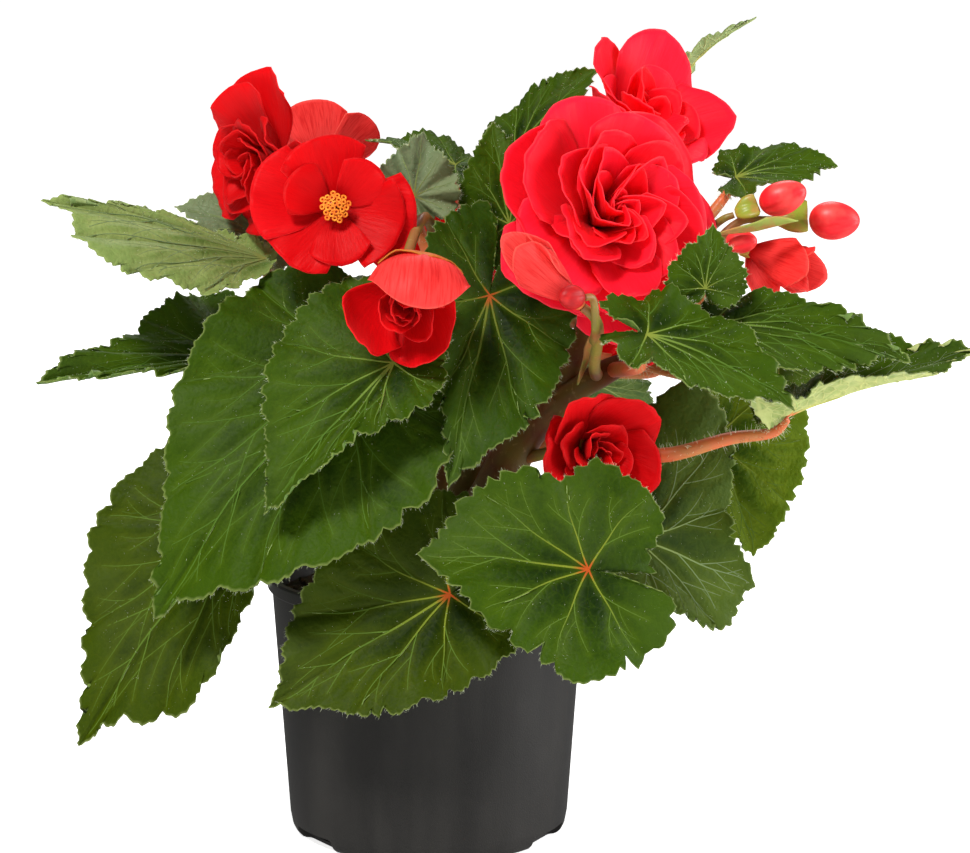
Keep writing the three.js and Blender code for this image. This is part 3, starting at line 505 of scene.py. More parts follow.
def thicken(piece, thickness, back_slots=0):
    apply_modifier(
        piece, "wall", "SOLIDIFY", thickness=thickness * MM, offset=-1, material_offset=back_slots,
    )


def put_attribute(piece, name, values):
    layer = piece.data.attributes.new(name, "FLOAT", "POINT")
    layer.data.foreach_set("value", np.asarray(values, dtype=np.float32))


def put_uv(piece, name, flat):
    corner = np.empty(len(piece.data.loops), dtype=np.int32)
    piece.data.loops.foreach_get("vertex_index", corner)
    layer = piece.data.uv_layers.new(name=name)
    layer.data.foreach_set("uv", flat[corner].astype(np.float32).ravel())


def mesh_piece(name, points, faces, material):
    mesh = bpy.data.meshes.new(name)
    mesh.from_pydata((np.asarray(points) * MM).tolist(), [], faces)
    mesh.materials.append(material)
    piece = bpy.data.objects.new(name, mesh)
    bpy.context.scene.collection.objects.link(piece)
    return piece


# Directions that no stalk or hair follows, from which its sides are worked out.
ANY_WAY = (0.31, 0.12, 0.94)
HAIR_WAY = (0.3, 0.2, 0.93)


def lengths_of(rows):
    return np.linalg.norm(rows, axis=1)[:, None] + FILM


# Closed tubes along paths, each path with its points, radii and values that run along it.
def tubes(name, paths, sides, material, values=("along",)):
    points, faces, marks = [], [], []
    for path in paths:
        spine = np.asarray(path["points"], float)
        radii = np.asarray(path["radii"], float)
        ahead = np.gradient(spine, axis=0)
        ahead /= lengths_of(ahead)
        first = np.asarray(path.get("up", ANY_WAY), float)
        foot = len(points)
        side = None
        for i in range(len(spine)):
            hint = first if side is None else np.cross(side, ahead[i])
            side = np.cross(ahead[i], hint)
            side /= np.linalg.norm(side) + FILM
            up = np.cross(side, ahead[i])
            for k in range(sides):
                angle = 2 * math.pi * k / sides
                reach = radii[i] * (math.cos(angle) * side + path.get("flat", 1) * math.sin(angle) * up)
                points.append(spine[i] + reach)
                marks.append([path[value][i] if np.ndim(path[value]) else path[value] for value in values])
        for i in range(len(spine) - 1):
            for k in range(sides):
                a = foot + i * sides + k
                b = foot + i * sides + (k + 1) % sides
                faces.append((a, b, b + sides, a + sides))
        faces.append([foot + k for k in range(sides)][::-1])
        faces.append([foot + (len(spine) - 1) * sides + k for k in range(sides)])
    piece = mesh_piece(name, points, faces, material)
    for value, column in zip(values, np.asarray(marks).T):
        put_attribute(piece, value, column)
    smooth(piece, 60)
    return piece


# Hairs: slim three-sided spikes that stand on their roots.
def hairs(name, roots, directions, lengths, width, material):
    roots = np.asarray(roots, float)
    ahead = np.asarray(directions, float)
    ahead /= lengths_of(ahead)
    aside = np.cross(ahead, HAIR_WAY)
    aside /= lengths_of(aside)
    across = np.cross(ahead, aside)
    tips = roots + ahead * np.asarray(lengths)[:, None]
    corners = [
        roots + width * (math.cos(a) * aside + math.sin(a) * across)
        for a in (0, 2 * math.pi / 3, 4 * math.pi / 3)
    ]
    points = np.stack([*corners, tips], axis=1).reshape(-1, 3)
    faces = []
    for i in range(0, len(points), 4):
        faces += [(i, i + 2, i + 1), (i, i + 1, i + 3), (i + 1, i + 2, i + 3), (i + 2, i, i + 3)]
    return mesh_piece(name, points, faces, material)


# Joins pieces into one, which rides on the plant's body and replaces the CAD node of its name.
def finished(node, slot, *pieces):
    piece = pieces[0]
    if len(pieces) > 1:
        select_only(*pieces)
        bpy.ops.object.join()
    rename(piece, node)
    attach(piece, "root")
    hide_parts(node)


def unit(v):
    v = np.asarray(v, float)
    return v / np.linalg.norm(v)


# A smooth way through points, rounded in the same manner as the solid stalks.
def smooth_way(points, steps):
    points = np.asarray(points, float)
    ends = [2 * points[0] - points[1], *points, 2 * points[-1] - points[-2]]
    way = []
    count = len(points) - 1
    for n in range(steps + 1):
        at = min(n / steps * count, count - 1e-9)
        i = int(at)
        t = at - i
        p0, p1, p2, p3 = ends[i:i + 4]
        d0, d1, d2 = (max(np.linalg.norm(b - a) ** 0.5, 1e-4) for a, b in ((p0, p1), (p1, p2), (p2, p3)))
        m1 = ((p1 - p0) / d0 - (p2 - p0) / (d0 + d1) + (p2 - p1) / d1) * d1
        m2 = ((p2 - p1) / d1 - (p3 - p1) / (d1 + d2) + (p3 - p2) / d2) * d1
        a = 2 * p1 - 2 * p2 + m1 + m2
        b = 3 * p2 - 3 * p1 - 2 * m1 - m2
        way.append(p1 + m1 * t + b * t * t + a * t ** 3)
    return np.array(way)


# Leaves

# One side of a blade, from its tip to the notch where the stalk joins, as shares of its length in
# front of the joint, of its lobe behind it, and of its half width.
BLADE_SIDE = [
    (1, 0), (0.92, 0.09), (0.78, 0.3), (0.6, 0.62), (0.4, 0.87), (0.18, 0.99), (-0.1, 1),
    (-0.5, 0.9), (-0.85, 0.66), (-1, 0.38), (-0.86, 0.14), (-0.45, 0.05), (-0.12, 0),
]
SIDE_STEPS = 1200

# The margin of a 100 mm leaf: how far its rounded lobes and its finer teeth stand out, how far apart
# the lobes are, how many teeth each has, and how much chance moves them along.
LOBES = 3.6
TEETH = 1.3
LOBE_PITCH = 12
LEAST_LOBE = 6
TEETH_TO_LOBE = 3.6
LEAST_TOOTH = 2.6
TOOTH_LEAN = 0.34
LOBE_STRAY = 11
TOOTH_STRAY = 3

# Where on each side of the outline, from the tip back, the main veins end.
MAIN_VEINS = (0.21, 0.42, 0.66)

# Leaves longer than these have a finer mesh: points round the margin, and rings out to it.
LARGE_LEAF = 78
MIDDLE_LEAF = 50
LARGE_MESH = (312, 19)
MIDDLE_MESH = (200, 14)
SMALL_MESH = (144, 11)

# Relief of a full-size blade: the puffed sectors between its veins, the margin's waves and ripples,
# and the quilting beside each vein. A short blade has a share of it.
FULL_RELIEF = 90
LEAST_RELIEF = 0.35
MIDRIB_ROUNDING = 3
PUFF = 3.3
PUFF_CHANGE = 1.9
MARGIN_WAVE = 1.3
MARGIN_RIPPLE = 0.7
QUILT = 0.95
QUILT_REACH = 3.2
VEIN_SHADE_REACH = 1.6

# Veins and ribs: radius of a full-size blade's main vein at the joint, how far they lie above the
# blade's face, how flat they are, and where they end short of the margin.
VEIN_RADIUS = 0.46
MIDRIB_GROWTH = 1.25
MAIN_VEIN_END = 0.94
SIDE_VEIN_END = 0.93
SIDE_VEIN_SHARE = 0.62
SIDE_VEIN_TURN = 0.55
FORK_TURN = 0.6
VEIN_LIFT = -0.42
VEIN_FLATNESS = 0.55
RIB_LIFT = -0.5
RIB_GROWTH = 1.5
RIB_FLATNESS = 0.8
TUBE_SIDES = 5

# Hairs: their width, how far apart they stand on a margin, and how many stand on the blade to
# each millimetre of its length.
HAIR_WIDTH = 0.075
HAIR_PITCH = 0.95
WOOLLY_PITCH = 0.5
FACE_HAIRS = 4


# One leaf: the joint on its stalk and its tip, the way its face looks, its half widths to the left
# and right, its lobe behind the joint, and the points that its stalk passes. Fold, droop and twist
# are in degrees. shape draws the outline out or in all round, and tears are notches in it, each with
# its angle, depth and width.
def leaf(name, joint, tip, face, left, right, lobe, stalk, fold=8, droop=30, curl=0.2, wave=2,
         waves=5, phase=0, twist=0, thick=STALK_BASE, hold=6, finish="mid", shape=(1,), tears=()):
    return dict(
        name=name, joint=np.array(joint, float), tip=np.array(tip, float), face=np.array(face, float),
        left=left, right=right, lobe=lobe, stalk=stalk, fold=math.radians(fold),
        droop=math.radians(droop), curl=curl, wave=wave, waves=waves, phase=phase,
        twist=math.radians(twist), thick=thick, hold=hold, finish=finish,
        shape=np.array(shape, float), tears=tears,
    )


LEAVES = [
    leaf("front_right", (65, -98, 134), (0, -96, 140), (0.1, -0.88, 0.45), 50, 45, 40,
         [(10, -6, 112), (28, -22, 122), (54, -62, 116)], fold=6, droop=24, wave=3, finish="warm",
         shape=(1, 0.6, 0.82, 0.93, 1, 0.8, 1.03, 1.14, 1.05, 0.96, 0.87, 0.84, 0.94, 0.86, 0.88, 0.9),
         tears=((64, 0.16, 2.6), (46, 0.07, 3), (118, 0.1, 3))),
    leaf("front_low", (10, -76, 119), (-60, -84, 76), (0, -0.93, 0.36), 36, 42, 34,
         [(6, -6, 108), (12, -40, 114)], fold=6, droop=20, finish="olive",
         shape=(1, 1, 1, 1, 1, 1, 1.05, 1.12, 1.04, 1.08, 1, 0.97, 0.97, 0.93, 0.95, 1)),
    leaf("left_large", (-30, -55, 210), (-109, -87, 113), (-0.12, -0.88, 0.46), 57, 56, 27,
         [(-28, -3, 165), (-30, -28, 186)], droop=34, wave=3,
         shape=(1, 1, 1.08, 1, 0.95, 0.97, 0.98, 0.97, 1.02, 1.1, 1.12, 1.12, 0.97, 0.95, 1, 1)),
    leaf("left_front", (-12, -86, 215), (-64, -104, 156), (-0.15, -0.88, 0.46), 30, 42, 26,
         [(26, -1, 175), (16, -30, 215), (4, -50, 232)], droop=34, wave=2.5,
         shape=(1, 1, 1, 1.04, 1, 1, 0.99, 0.99, 0.98, 0.64, 0.66, 0.76, 0.78, 0.7, 0.65, 0.8)),
    # The centre leaf takes the deep finish, a darker copy of the mid one: painted shade.
    leaf("centre", (26, -59, 238), (9, -93, 164), (0.12, -0.93, 0.32), 38, 22, 38,
         [(26, -1, 175), (28, -32, 206)], droop=26, wave=2.5, finish="deep",
         shape=(1.1, 1.2, 1.3, 1.4, 1.25, 1, 0.8, 0.75, 0.98, 1.03, 0.97, 0.96, 0.87, 0.95, 1.1, 1.1)),
    leaf("left_hanging", (-74, -46, 146), (-146, -52, 47), (-0.3, -0.88, 0.3), 36, 45, 40,
         [(-10, 0, 112), (-44, -20, 138)], fold=6, droop=24, wave=2.5, finish="olive",
         shape=(1, 1, 1, 1, 1.06, 1.1, 1.1, 1.02, 0.98, 1.2, 0.75, 0.6, 0.55, 0.6, 0.75, 0.9)),
    leaf("left_low", (-84, -12, 136), (-90, -22, 78), (-0.1, -0.9, 0.2), 13, 26, 20,
         [(-8, 2, 108), (-50, -2, 130)]),
    leaf("left_top", (-66, -20, 248), (-154, -50, 276), (0.05, -0.55, 0.83), 30, 12, 6,
         [(-42, -4, 220), (-50, -12, 238)], fold=6, droop=14, finish="lime",
         shape=(0.8, 0.8, 0.7, 0.7, 0.7, 0.6, 0.6, 0.7, 1, 1.5, 1.1, 0.56, 0.3, 0.3, 0.3, 0.5)),
    leaf("left_back", (-80, -14, 206), (-157, -58, 201), (-0.1, -0.66, 0.75), 10, 38, 16,
         [(-35, -4, 186), (-56, -4, 196)], fold=14, droop=16,
         shape=(1, 1, 1, 1, 1, 0.86, 0.8, 0.76, 1, 1, 1, 1, 1, 1, 1, 1)),
    leaf("left_small", (-69, 10, 254), (-106, 10, 266), (0, -0.75, 0.66), 17, 21, 15,
         [(-42, -4, 226), (-54, 16, 240)], fold=14, finish="grey"),
    leaf("right_low", (86, -42, 135), (134, -36, 114), (0.1, -0.93, 0.32), 68, 36, 14,
         [(12, -4, 112), (58, -20, 124)], fold=6, droop=24, finish="dull",
         shape=(1, 1, 1, 1, 1, 0.95, 0.88, 1.3, 1.05, 0.86, 0.88, 0.96, 1, 1.2, 1.15, 1)),
    leaf("right_back", (119, -12, 172), (138, -14, 120), (0.2, -0.9, 0.35), 40, 24, 18,
         [(28, -2, 172), (84, 0, 162)], finish="fresh"),
    leaf("right_near", (87, -103, 229), (148, -110, 201), (0.1, -0.62, 0.78), 22, 22, 17,
         [(76, -31, 203), (86, -64, 210)], wave=3,
         shape=(1.3, 1, 0.8, 0.75, 0.8, 0.88, 0.96, 0.98, 0.98, 1, 1, 1.02, 1.04, 1, 1.12, 1.2)),
    leaf("right_long", (113, -72, 228), (198, -64, 212), (0, -0.6, 0.8), 28, 20, 9,
         [(92, -37, 212), (106, -54, 214)],
         shape=(1, 1, 1, 1, 1, 1.2, 1.35, 1.15, 0.97, 0.72, 0.68, 0.72, 0.7, 0.7, 0.8, 1)),
    leaf("right_young", (111, -79, 243), (114, -79, 269), (0.1, -0.97, 0.1), 16, 16, 6,
         [(92, -37, 212), (93, -68, 222)]),
    leaf("right_far", (146, -50, 188), (232, -40, 214), (-0.3, 0.1, 0.95), 20, 22, 12,
         [(50, -20, 180), (74, -30, 172), (96, -45, 170), (124, -50, 178)],
         fold=34, droop=12, twist=50, thick=4, hold=2, finish="silver"),
    leaf("right_behind", (148, 14, 198), (184, 16, 206), (0, -0.7, 0.7), 17, 15, 12,
         [(40, 3, 212), (76, 30, 200), (120, 17, 191)]),
    leaf("top_right", (127, -14, 281), (170, -8, 285), (-0.05, -0.5, 0.86), 17, 14, 8,
         [(66, -14, 226), (90, -2, 246), (114, -12, 262)]),
    leaf("top_long", (36, 24, 286), (73, 26, 324), (-0.5, -0.6, 0.6), 20, 20, 18,
         [(42, 4, 220), (38, 22, 258)]),
    leaf("top_edge", (104, 46, 314), (139, 46, 343), (-0.5, 0.3, 0.8), 12, 12, 14,
         [(50, 7, 246), (70, 40, 270), (92, 48, 296)], fold=20, finish="pale"),
    leaf("top_back", (12, 6, 284), (-26, 12, 294), (0, -0.25, 0.97), 18, 18, 12,
         [(30, 1, 190), (16, 6, 250)]),
    leaf("top_crumpled", (-5, -28, 274), (-1, -22, 300), (0, -0.95, 0.2), 17, 18, 8,
         [(18, 1, 155), (2, -14, 244)], wave=4, waves=9, finish="grey"),
    leaf("top_centre", (34, -22, 262), (27, -14, 304), (-0.2, -0.95, 0.15), 20, 22, 18,
         [(32, 1, 192), (34, -6, 236)]),
    leaf("back_left", (-58, 48, 196), (-108, 92, 136), (-0.4, 0.6, 0.65), 40, 36, 34,
         [(-24, -2, 150), (-42, 30, 182)]),
    leaf("back_low", (-14, 82, 172), (-36, 132, 96), (-0.1, 0.8, 0.6), 42, 42, 40,
         [(5, 20, 130), (-6, 54, 154)]),
    leaf("back_right", (52, 76, 184), (84, 128, 120), (0.3, 0.75, 0.6), 40, 40, 34,
         [(9, 36, 165), (32, 60, 172)]),
    leaf("back_side", (104, 44, 196), (146, 80, 150), (0.5, 0.4, 0.75), 32, 34, 28,
         [(32, 1, 186), (72, 30, 192)], finish="fresh"),
    leaf("back_top", (-36, 50, 228), (-84, 90, 208), (-0.2, 0.3, 0.93), 28, 28, 20,
         [(13, 46, 208), (-18, 46, 218)]),
]


# The blade's frame: unit vectors ahead, to the left and up, and the bent midrib's length.
def lay_out(row):
    chord = row["tip"] - row["joint"]
    along = unit(chord)
    face = unit(row["face"] - along * row["face"].dot(along))
    half = row["droop"] / 2
    row["ahead"] = along * math.cos(half) + face * math.sin(half)
    row["up"] = face * math.cos(half) - along * math.sin(half)
    row["aside"] = np.cross(row["up"], row["ahead"])
    row["length"] = np.linalg.norm(chord) * half / math.sin(half)


# How far the outline is drawn out or in at an angle round the joint: even shares from behind
# the stalk, by the right side, the tip and the left side, and back again.
def drawn_share(shape, angle):
    at = (angle / (2 * math.pi) + 0.5) * len(shape)
    i = np.floor(at).astype(int)
    t = (at - i) ** 2 * (3 - 2 * (at - i))
    return shape[i % len(shape)] * (1 - t) + shape[(i + 1) % len(shape)] * t


# Points of one side of the outline, evenly spaced, from the tip to the notch.
def blade_side(row, width, sign, count):
    corners = np.array([
        (x * (row["length"] if x > 0 else row["lobe"]), y * width) for x, y in BLADE_SIDE
    ])
    last = len(corners) - 1
    dense = []
    for at in np.linspace(0, last - 1e-9, SIDE_STEPS):
        i = int(at)
        t = at - i
        p0, p1 = corners[max(i - 1, 0)], corners[i]
        p2, p3 = corners[min(i + 1, last)], corners[min(i + 2, last)]
        v0, v1 = (p2 - p0) / 2, (p3 - p1) / 2
        a = 2 * p1 - 2 * p2 + v0 + v1
        b = 3 * p2 - 3 * p1 - 2 * v0 - v1
        dense.append(a * t ** 3 + b * t * t + v0 * t + p1)
    dense = np.array(dense)
    dense *= drawn_share(row["shape"], np.arctan2(sign * dense[:, 1], dense[:, 0]))[:, None]
    travel = np.concatenate([[0], np.cumsum(np.linalg.norm(np.diff(dense, axis=0), axis=1))])
    even = np.linspace(0, travel[-1], count + 1)
    return np.stack([np.interp(even, travel, dense[:, k]) for k in (0, 1)], axis=1), even


# A row of teeth that lean towards the tip.
def teeth(travel, pitch):
    phase = travel / pitch % 1
    return np.where(phase < TOOTH_LEAN, phase / TOOTH_LEAN, (1 - phase) / (1 - TOOTH_LEAN)) - 0.5


# How far the margin stands out along one side, from the tip. It is calm at the tip and the notch.
def margin_relief(row, travel, sign):
    size = row["length"] / 100
    wander = np.array([noise.noise((t * 0.05, sign * 7.0, row["length"] * 0.37)) for t in travel])
    calm = np.clip(travel / 9, 0, 1) * np.clip((travel[-1] - travel) / (0.16 * travel[-1]), 0, 1)
    pitch = max(LEAST_LOBE, LOBE_PITCH * size) * (1 + 0.1 * sign)
    rounded = np.abs(np.sin(math.pi * (travel + LOBE_STRAY * wander) / pitch)) ** 0.8 - 0.6
    lobes = LOBES * min(1, 0.4 + size * 0.6) * (1 + 1.1 * wander) * rounded
    fine = TEETH * teeth(travel + TOOTH_STRAY * wander, max(LEAST_TOOTH, pitch / TEETH_TO_LOBE))
    return calm * (lobes + fine)


# The outline twice, plain and toothed, from the tip round the left side and back up the right.
def blade_rim(row, count):
    halves = []
    for width, sign in ((row["left"], 1), (row["right"], -1)):
        side, travel = blade_side(row, width, sign, count // 2)
        along = np.gradient(side, axis=0)
        out = np.stack([along[:, 1], -along[:, 0]], axis=1)
        out /= lengths_of(out)
        ridged = side + out * margin_relief(row, travel, sign)[:, None]
        mirror = np.array((1, sign))
        halves.append((side * mirror, ridged * mirror))
    plain, toothed = (np.concatenate([left[:-1], right[::-1][:-1]]) for left, right in zip(*halves))
    angle = np.degrees(np.arctan2(toothed[:, 1], toothed[:, 0]))
    for place, depth, wide in row["tears"]:
        toothed *= (1 - depth * np.exp(-(((angle - place) / wide) ** 2)))[:, None]
    return plain, toothed


# The outline's points that the main veins run to, and the angles they leave the joint at.
def vein_ends(row):
    half = len(row["smooth"]) // 2
    ends = [-int(f * half) for f in MAIN_VEINS[::-1]] + [0] + [int(f * half) for f in MAIN_VEINS]
    rim = row["smooth"][ends]
    return ends, np.arctan2(rim[:, 1], rim[:, 0])


# How far the face stands up at an angle round the joint, in puffs between its main veins and in
# waves and ripples towards the margin.
def blade_relief(row, angle, share):
    size = np.clip(row["length"] / FULL_RELIEF, LEAST_RELIEF, 1)
    seed = row["length"]
    sector = np.interp(angle, row["rays"], np.arange(len(row["rays"])))
    puff = PUFF + PUFF_CHANGE * np.sin(2.3 * np.floor(sector) + seed)
    pleat = np.abs(np.sin(math.pi * sector)) ** 0.8 - 0.55
    waves = np.sin(3 * angle + seed) + np.sin(7 * angle + 2 * seed) + 0.6 * np.sin(12 * angle + 3 * seed)
    ripple = np.sin(29 * angle + 3 * np.sin(5 * angle) + seed)
    margin = MARGIN_WAVE * share ** 4 * waves + MARGIN_RIPPLE * share ** 8 * ripple
    return size * (puff * share ** 1.3 * pleat + margin)


# Bends flat points of the blade to their places: folded along the midrib, curled, waved, twisted
# and drooped. lift raises a point above the face.
def on_blade(row, x, y, share, lift=0.0):
    away = np.hypot(y, MIDRIB_ROUNDING) - MIDRIB_ROUNDING
    angle = np.arctan2(y, x)
    across = np.sign(y) * (np.abs(y) - away * (1 - math.cos(row["fold"])))
    folded = away * math.sin(row["fold"]) - row["curl"] * y * y / (row["left"] + row["right"]) / 2
    waved = row["wave"] * share ** 2 * np.sin(row["waves"] * angle + row["phase"])
    rise = folded + waved + blade_relief(row, angle, share) + lift
    twist = row["twist"] * x / row["length"]
    across, rise = (
        across * np.cos(twist) - rise * np.sin(twist),
        across * np.sin(twist) + rise * np.cos(twist),
    )
    bend = row["droop"] / row["length"]
    ahead = np.sin(bend * x) / bend + rise * np.sin(bend * x)
    high = (np.cos(bend * x) - 1) / bend + rise * np.cos(bend * x)
    return (
        row["joint"]
        + np.outer(ahead, row["ahead"])
        + np.outer(across, row["aside"])
        + np.outer(high, row["up"])
    )


# How far out a flat point lies: 0 at the joint and 1 on the smooth outline.
def share_of(row, flat):
    rim = row["smooth"]
    angles = np.arctan2(rim[:, 1], rim[:, 0])
    order = np.argsort(angles)
    reach = np.interp(
        np.arctan2(flat[:, 1], flat[:, 0]), angles[order], np.hypot(*rim[order].T), period=2 * math.pi,
    )
    return np.hypot(*flat.T) / reach


# A vein from one flat point to another, drawn forward at its middle.
def vein_line(start, end, forward, steps):
    start, end = np.asarray(start, float), np.asarray(end, float)
    control = (start + end) / 2 + forward
    t = np.linspace(0, 1, steps + 1)[:, None]
    return (1 - t) ** 2 * start + 2 * t * (1 - t) * control + t * t * end


def rotated(v, angle):
    c, s = math.cos(angle), math.sin(angle)
    return np.array((c * v[0] - s * v[1], s * v[0] + c * v[1]))


# The veins of a blade: one to the tip and three to each side, forking towards the margin.
def blade_veins(row):
    rim = row["smooth"]
    size = min(1.0, 0.35 + row["length"] / 110)
    veins = []

    def branch(start, heading, length, radius, depth, shade):
        steps = 7 if depth == 1 else 5
        end = start + heading * length
        way = vein_line(start, end, 0.16 * length * np.array((1.0, 0.0)), steps)
        inside = share_of(row, way) < SIDE_VEIN_END
        keep = len(way) if inside.all() else int(np.argmin(inside))
        if keep < 3:
            return
        way = way[:keep]
        radii = np.linspace(radius, 0.5 * radius, keep)
        veins.append(dict(flat=way, radii=radii, along=np.linspace(shade, min(1, shade + 0.3), keep)))
        if depth < 2:
            at = way[int(0.5 * (keep - 1))]
            turn = math.copysign(FORK_TURN, heading[1] * at[0] - heading[0] * at[1])
            fork = rotated(heading, -turn)
            branch(at, fork, SIDE_VEIN_SHARE * length, 0.6 * radius, depth + 1, min(1, shade + 0.2))

    ends, _ = vein_ends(row)
    for end in ends:
        tip = rim[end] * MAIN_VEIN_END
        reach = np.linalg.norm(tip)
        way = vein_line((0, 0), tip, np.array((0.09 * reach, 0.0)), 16)
        across = unit(np.array((-tip[1], tip[0])))
        at = np.linspace(0, 1, len(way))
        way = way + np.outer(0.02 * reach * at * np.sin(9 * at + 1.3 * end), across)
        main = VEIN_RADIUS * size * (MIDRIB_GROWTH if end == 0 else 1)
        radii = main * np.linspace(1, 0.3, len(way))
        veins.append(dict(flat=way, radii=radii, along=np.linspace(0, 1, len(way)) * reach / 60))
        shares = (0.34, 0.5, 0.66, 0.8) if end == 0 else (0.32, 0.52, 0.74)
        turn = SIDE_VEIN_TURN if end > 0 else -SIDE_VEIN_TURN
        for share in shares:
            at = int(share * (len(way) - 1))
            heading = unit(way[min(at + 1, len(way) - 1)] - way[at - 1])
            radius = SIDE_VEIN_SHARE * main * (1.1 - 0.5 * share)
            length = 0.8 * reach * (1 - share)
            branch(way[at], rotated(heading, turn), length, radius, 1, min(1, 0.3 + share))
            turn = -turn
    return veins


# Distance of flat points to the nearest vein.
def vein_distance(flat, veins):
    nearest = np.full(len(flat), 1e9)
    for vein in veins:
        way = vein["flat"]
        if len(way) < 5:
            continue
        for a, b in zip(way[:-1], way[1:]):
            step = b - a
            t = np.clip(((flat - a) @ step) / (step @ step + 1e-9), 0, 1)
            gap = flat - a - t[:, None] * step
            nearest = np.minimum(nearest, np.hypot(*gap.T))
    return nearest


def leaf_piece(row, finishes):
    count, rings = SMALL_MESH
    if row["length"] > MIDDLE_LEAF:
        count, rings = MIDDLE_MESH
    if row["length"] > LARGE_LEAF:
        count, rings = LARGE_MESH
    smooth_rim, toothed = blade_rim(row, count)
    row["smooth"] = smooth_rim
    row["rays"] = np.concatenate([[-math.pi], vein_ends(row)[1], [math.pi]])
    veins = blade_veins(row)
    laid = {}

    def place(u, v):
        share = 1 - (1 - v) ** 1.35
        at = np.round(u * count).astype(int) % count
        base = smooth_rim[at]
        late = np.clip((share - 0.8) / 0.2, 0, 1)
        flat = share[:, None] * (base + (toothed[at] - base) * (late ** 2)[:, None])
        gap = vein_distance(flat, veins)
        quilt = QUILT * min(1, row["length"] / 80) * (1 - np.exp(-((gap / QUILT_REACH) ** 2)))
        laid.update(flat=flat, gap=gap, share=share)
        return on_blade(row, flat[:, 0], flat[:, 1], share, quilt - 0.5)

    name = "leaf_" + row["name"]
    piece = grid(name, count, rings, place)[0]
    put_uv(piece, "flat", laid["flat"] / 100)
    put_attribute(piece, "near", np.exp(-((laid["gap"] / VEIN_SHADE_REACH) ** 2)))
    put_attribute(piece, "rim", laid["share"])
    face, back, vein = finishes[row["finish"]]
    piece.data.materials.append(face)
    piece.data.materials.append(back)
    edit(piece, close_seam)
    flip_to(piece, row["up"])
    thicken(piece, BLADE, back_slots=1)
    smooth(piece)

    def raised(veins, lift, grow, flatness):
        paths = []
        for item in veins:
            flat = item["flat"]
            share = share_of(row, flat)
            points = on_blade(row, flat[:, 0], flat[:, 1], share, lift)
            paths.append(dict(
                points=points, radii=item["radii"] * grow, along=np.clip(item["along"], 0, 1),
                up=row["up"], flat=flatness,
            ))
        return paths

    front = tubes("veins", raised(veins, VEIN_LIFT, 1, VEIN_FLATNESS), TUBE_SIDES, vein)
    thick_veins = [item for item in veins if len(item["flat"]) > 5]
    ribs = raised(thick_veins, RIB_LIFT - BLADE, RIB_GROWTH, RIB_FLATNESS)
    behind = tubes("ribs", ribs, TUBE_SIDES, finishes["rib"])
    finished(name, "leaf", piece, front, behind, leaf_hairs(row, toothed, finishes["hair"]))


# Turns the faces over where they look away from the given direction.
def flip_to(piece, direction):
    normals = np.empty(3 * len(piece.data.polygons))
    piece.data.polygons.foreach_get("normal", normals)
    if normals.reshape(-1, 3).mean(axis=0) @ direction < 0:
        edit(piece, bpy.ops.mesh.flip_normals)


# Hairs that stand out from the margin, and shorter ones scattered over the upper side.
def leaf_hairs(row, toothed, material):
    draw = np.random.default_rng(int(row["length"] * 100))
    steps = np.linalg.norm(np.diff(toothed, axis=0, append=toothed[:1]), axis=1)
    travel = np.concatenate([[0], np.cumsum(steps)])
    many = int(travel[-1] / (WOOLLY_PITCH if row["finish"] == "grey" else HAIR_PITCH))
    at = draw.uniform(0, travel[-1], many)
    closed = np.concatenate([toothed, toothed[:1]])
    flat = np.stack([np.interp(at, travel, closed[:, k]) for k in (0, 1)], axis=1)
    outer = flat + flat / (np.linalg.norm(flat, axis=1)[:, None] + 1e-9)
    ones = np.ones(many)
    roots = on_blade(row, flat[:, 0], flat[:, 1], ones, -0.3 - BLADE / 2)
    ends = on_blade(row, outer[:, 0], outer[:, 1], ones, -0.3 - BLADE / 2)
    outward = ends - roots + draw.normal(0, 0.45, (many, 3))
    lengths = draw.uniform(0.7, 1.9, many)
    count = int(FACE_HAIRS * row["length"])
    spread = np.sqrt(draw.uniform(0.02, 0.95, count))
    picked = row["smooth"][draw.integers(0, len(row["smooth"]), count)] * spread[:, None]
    seats = on_blade(row, picked[:, 0], picked[:, 1], spread, -0.1)
    upright = row["up"] + draw.normal(0, 0.5, (count, 3))
    short = draw.uniform(0.4, 0.9, count)
    return hairs(
        "hairs",
        np.concatenate([roots, seats]),
        np.concatenate([outward, upright]),
        np.concatenate([lengths, short]),
        HAIR_WIDTH,
        material,
    )


# Blooms

# One ring of petals: how many, the turn of the first, their length and half width, how far they
# open and curl in degrees, and the radius of their cup. The rest sets their ruffles, pointed ends,
# height on the heart, lean, fold and foot radius. Inner rings have a rise of their own.
def ring(count, first, length, width, open, curl, cup, ruffle=1.0, point=0.0, rise=None, lean=9,
         fold=0.0, start=2.0, waves=4, finish=None):
    return dict(
        count=count, first=first, length=length, width=width, open=open, curl=curl, cup=cup,
        ruffle=ruffle, point=point, rise=rise, lean=lean, fold=fold, start=start, waves=waves,
        finish=finish,
    )


def bloom(name, base, axis, stalk, rings, finish="crimson"):
    return dict(
        name=name, base=np.array(base, float), axis=unit(axis), stalk=stalk, rings=rings, finish=finish,
    )


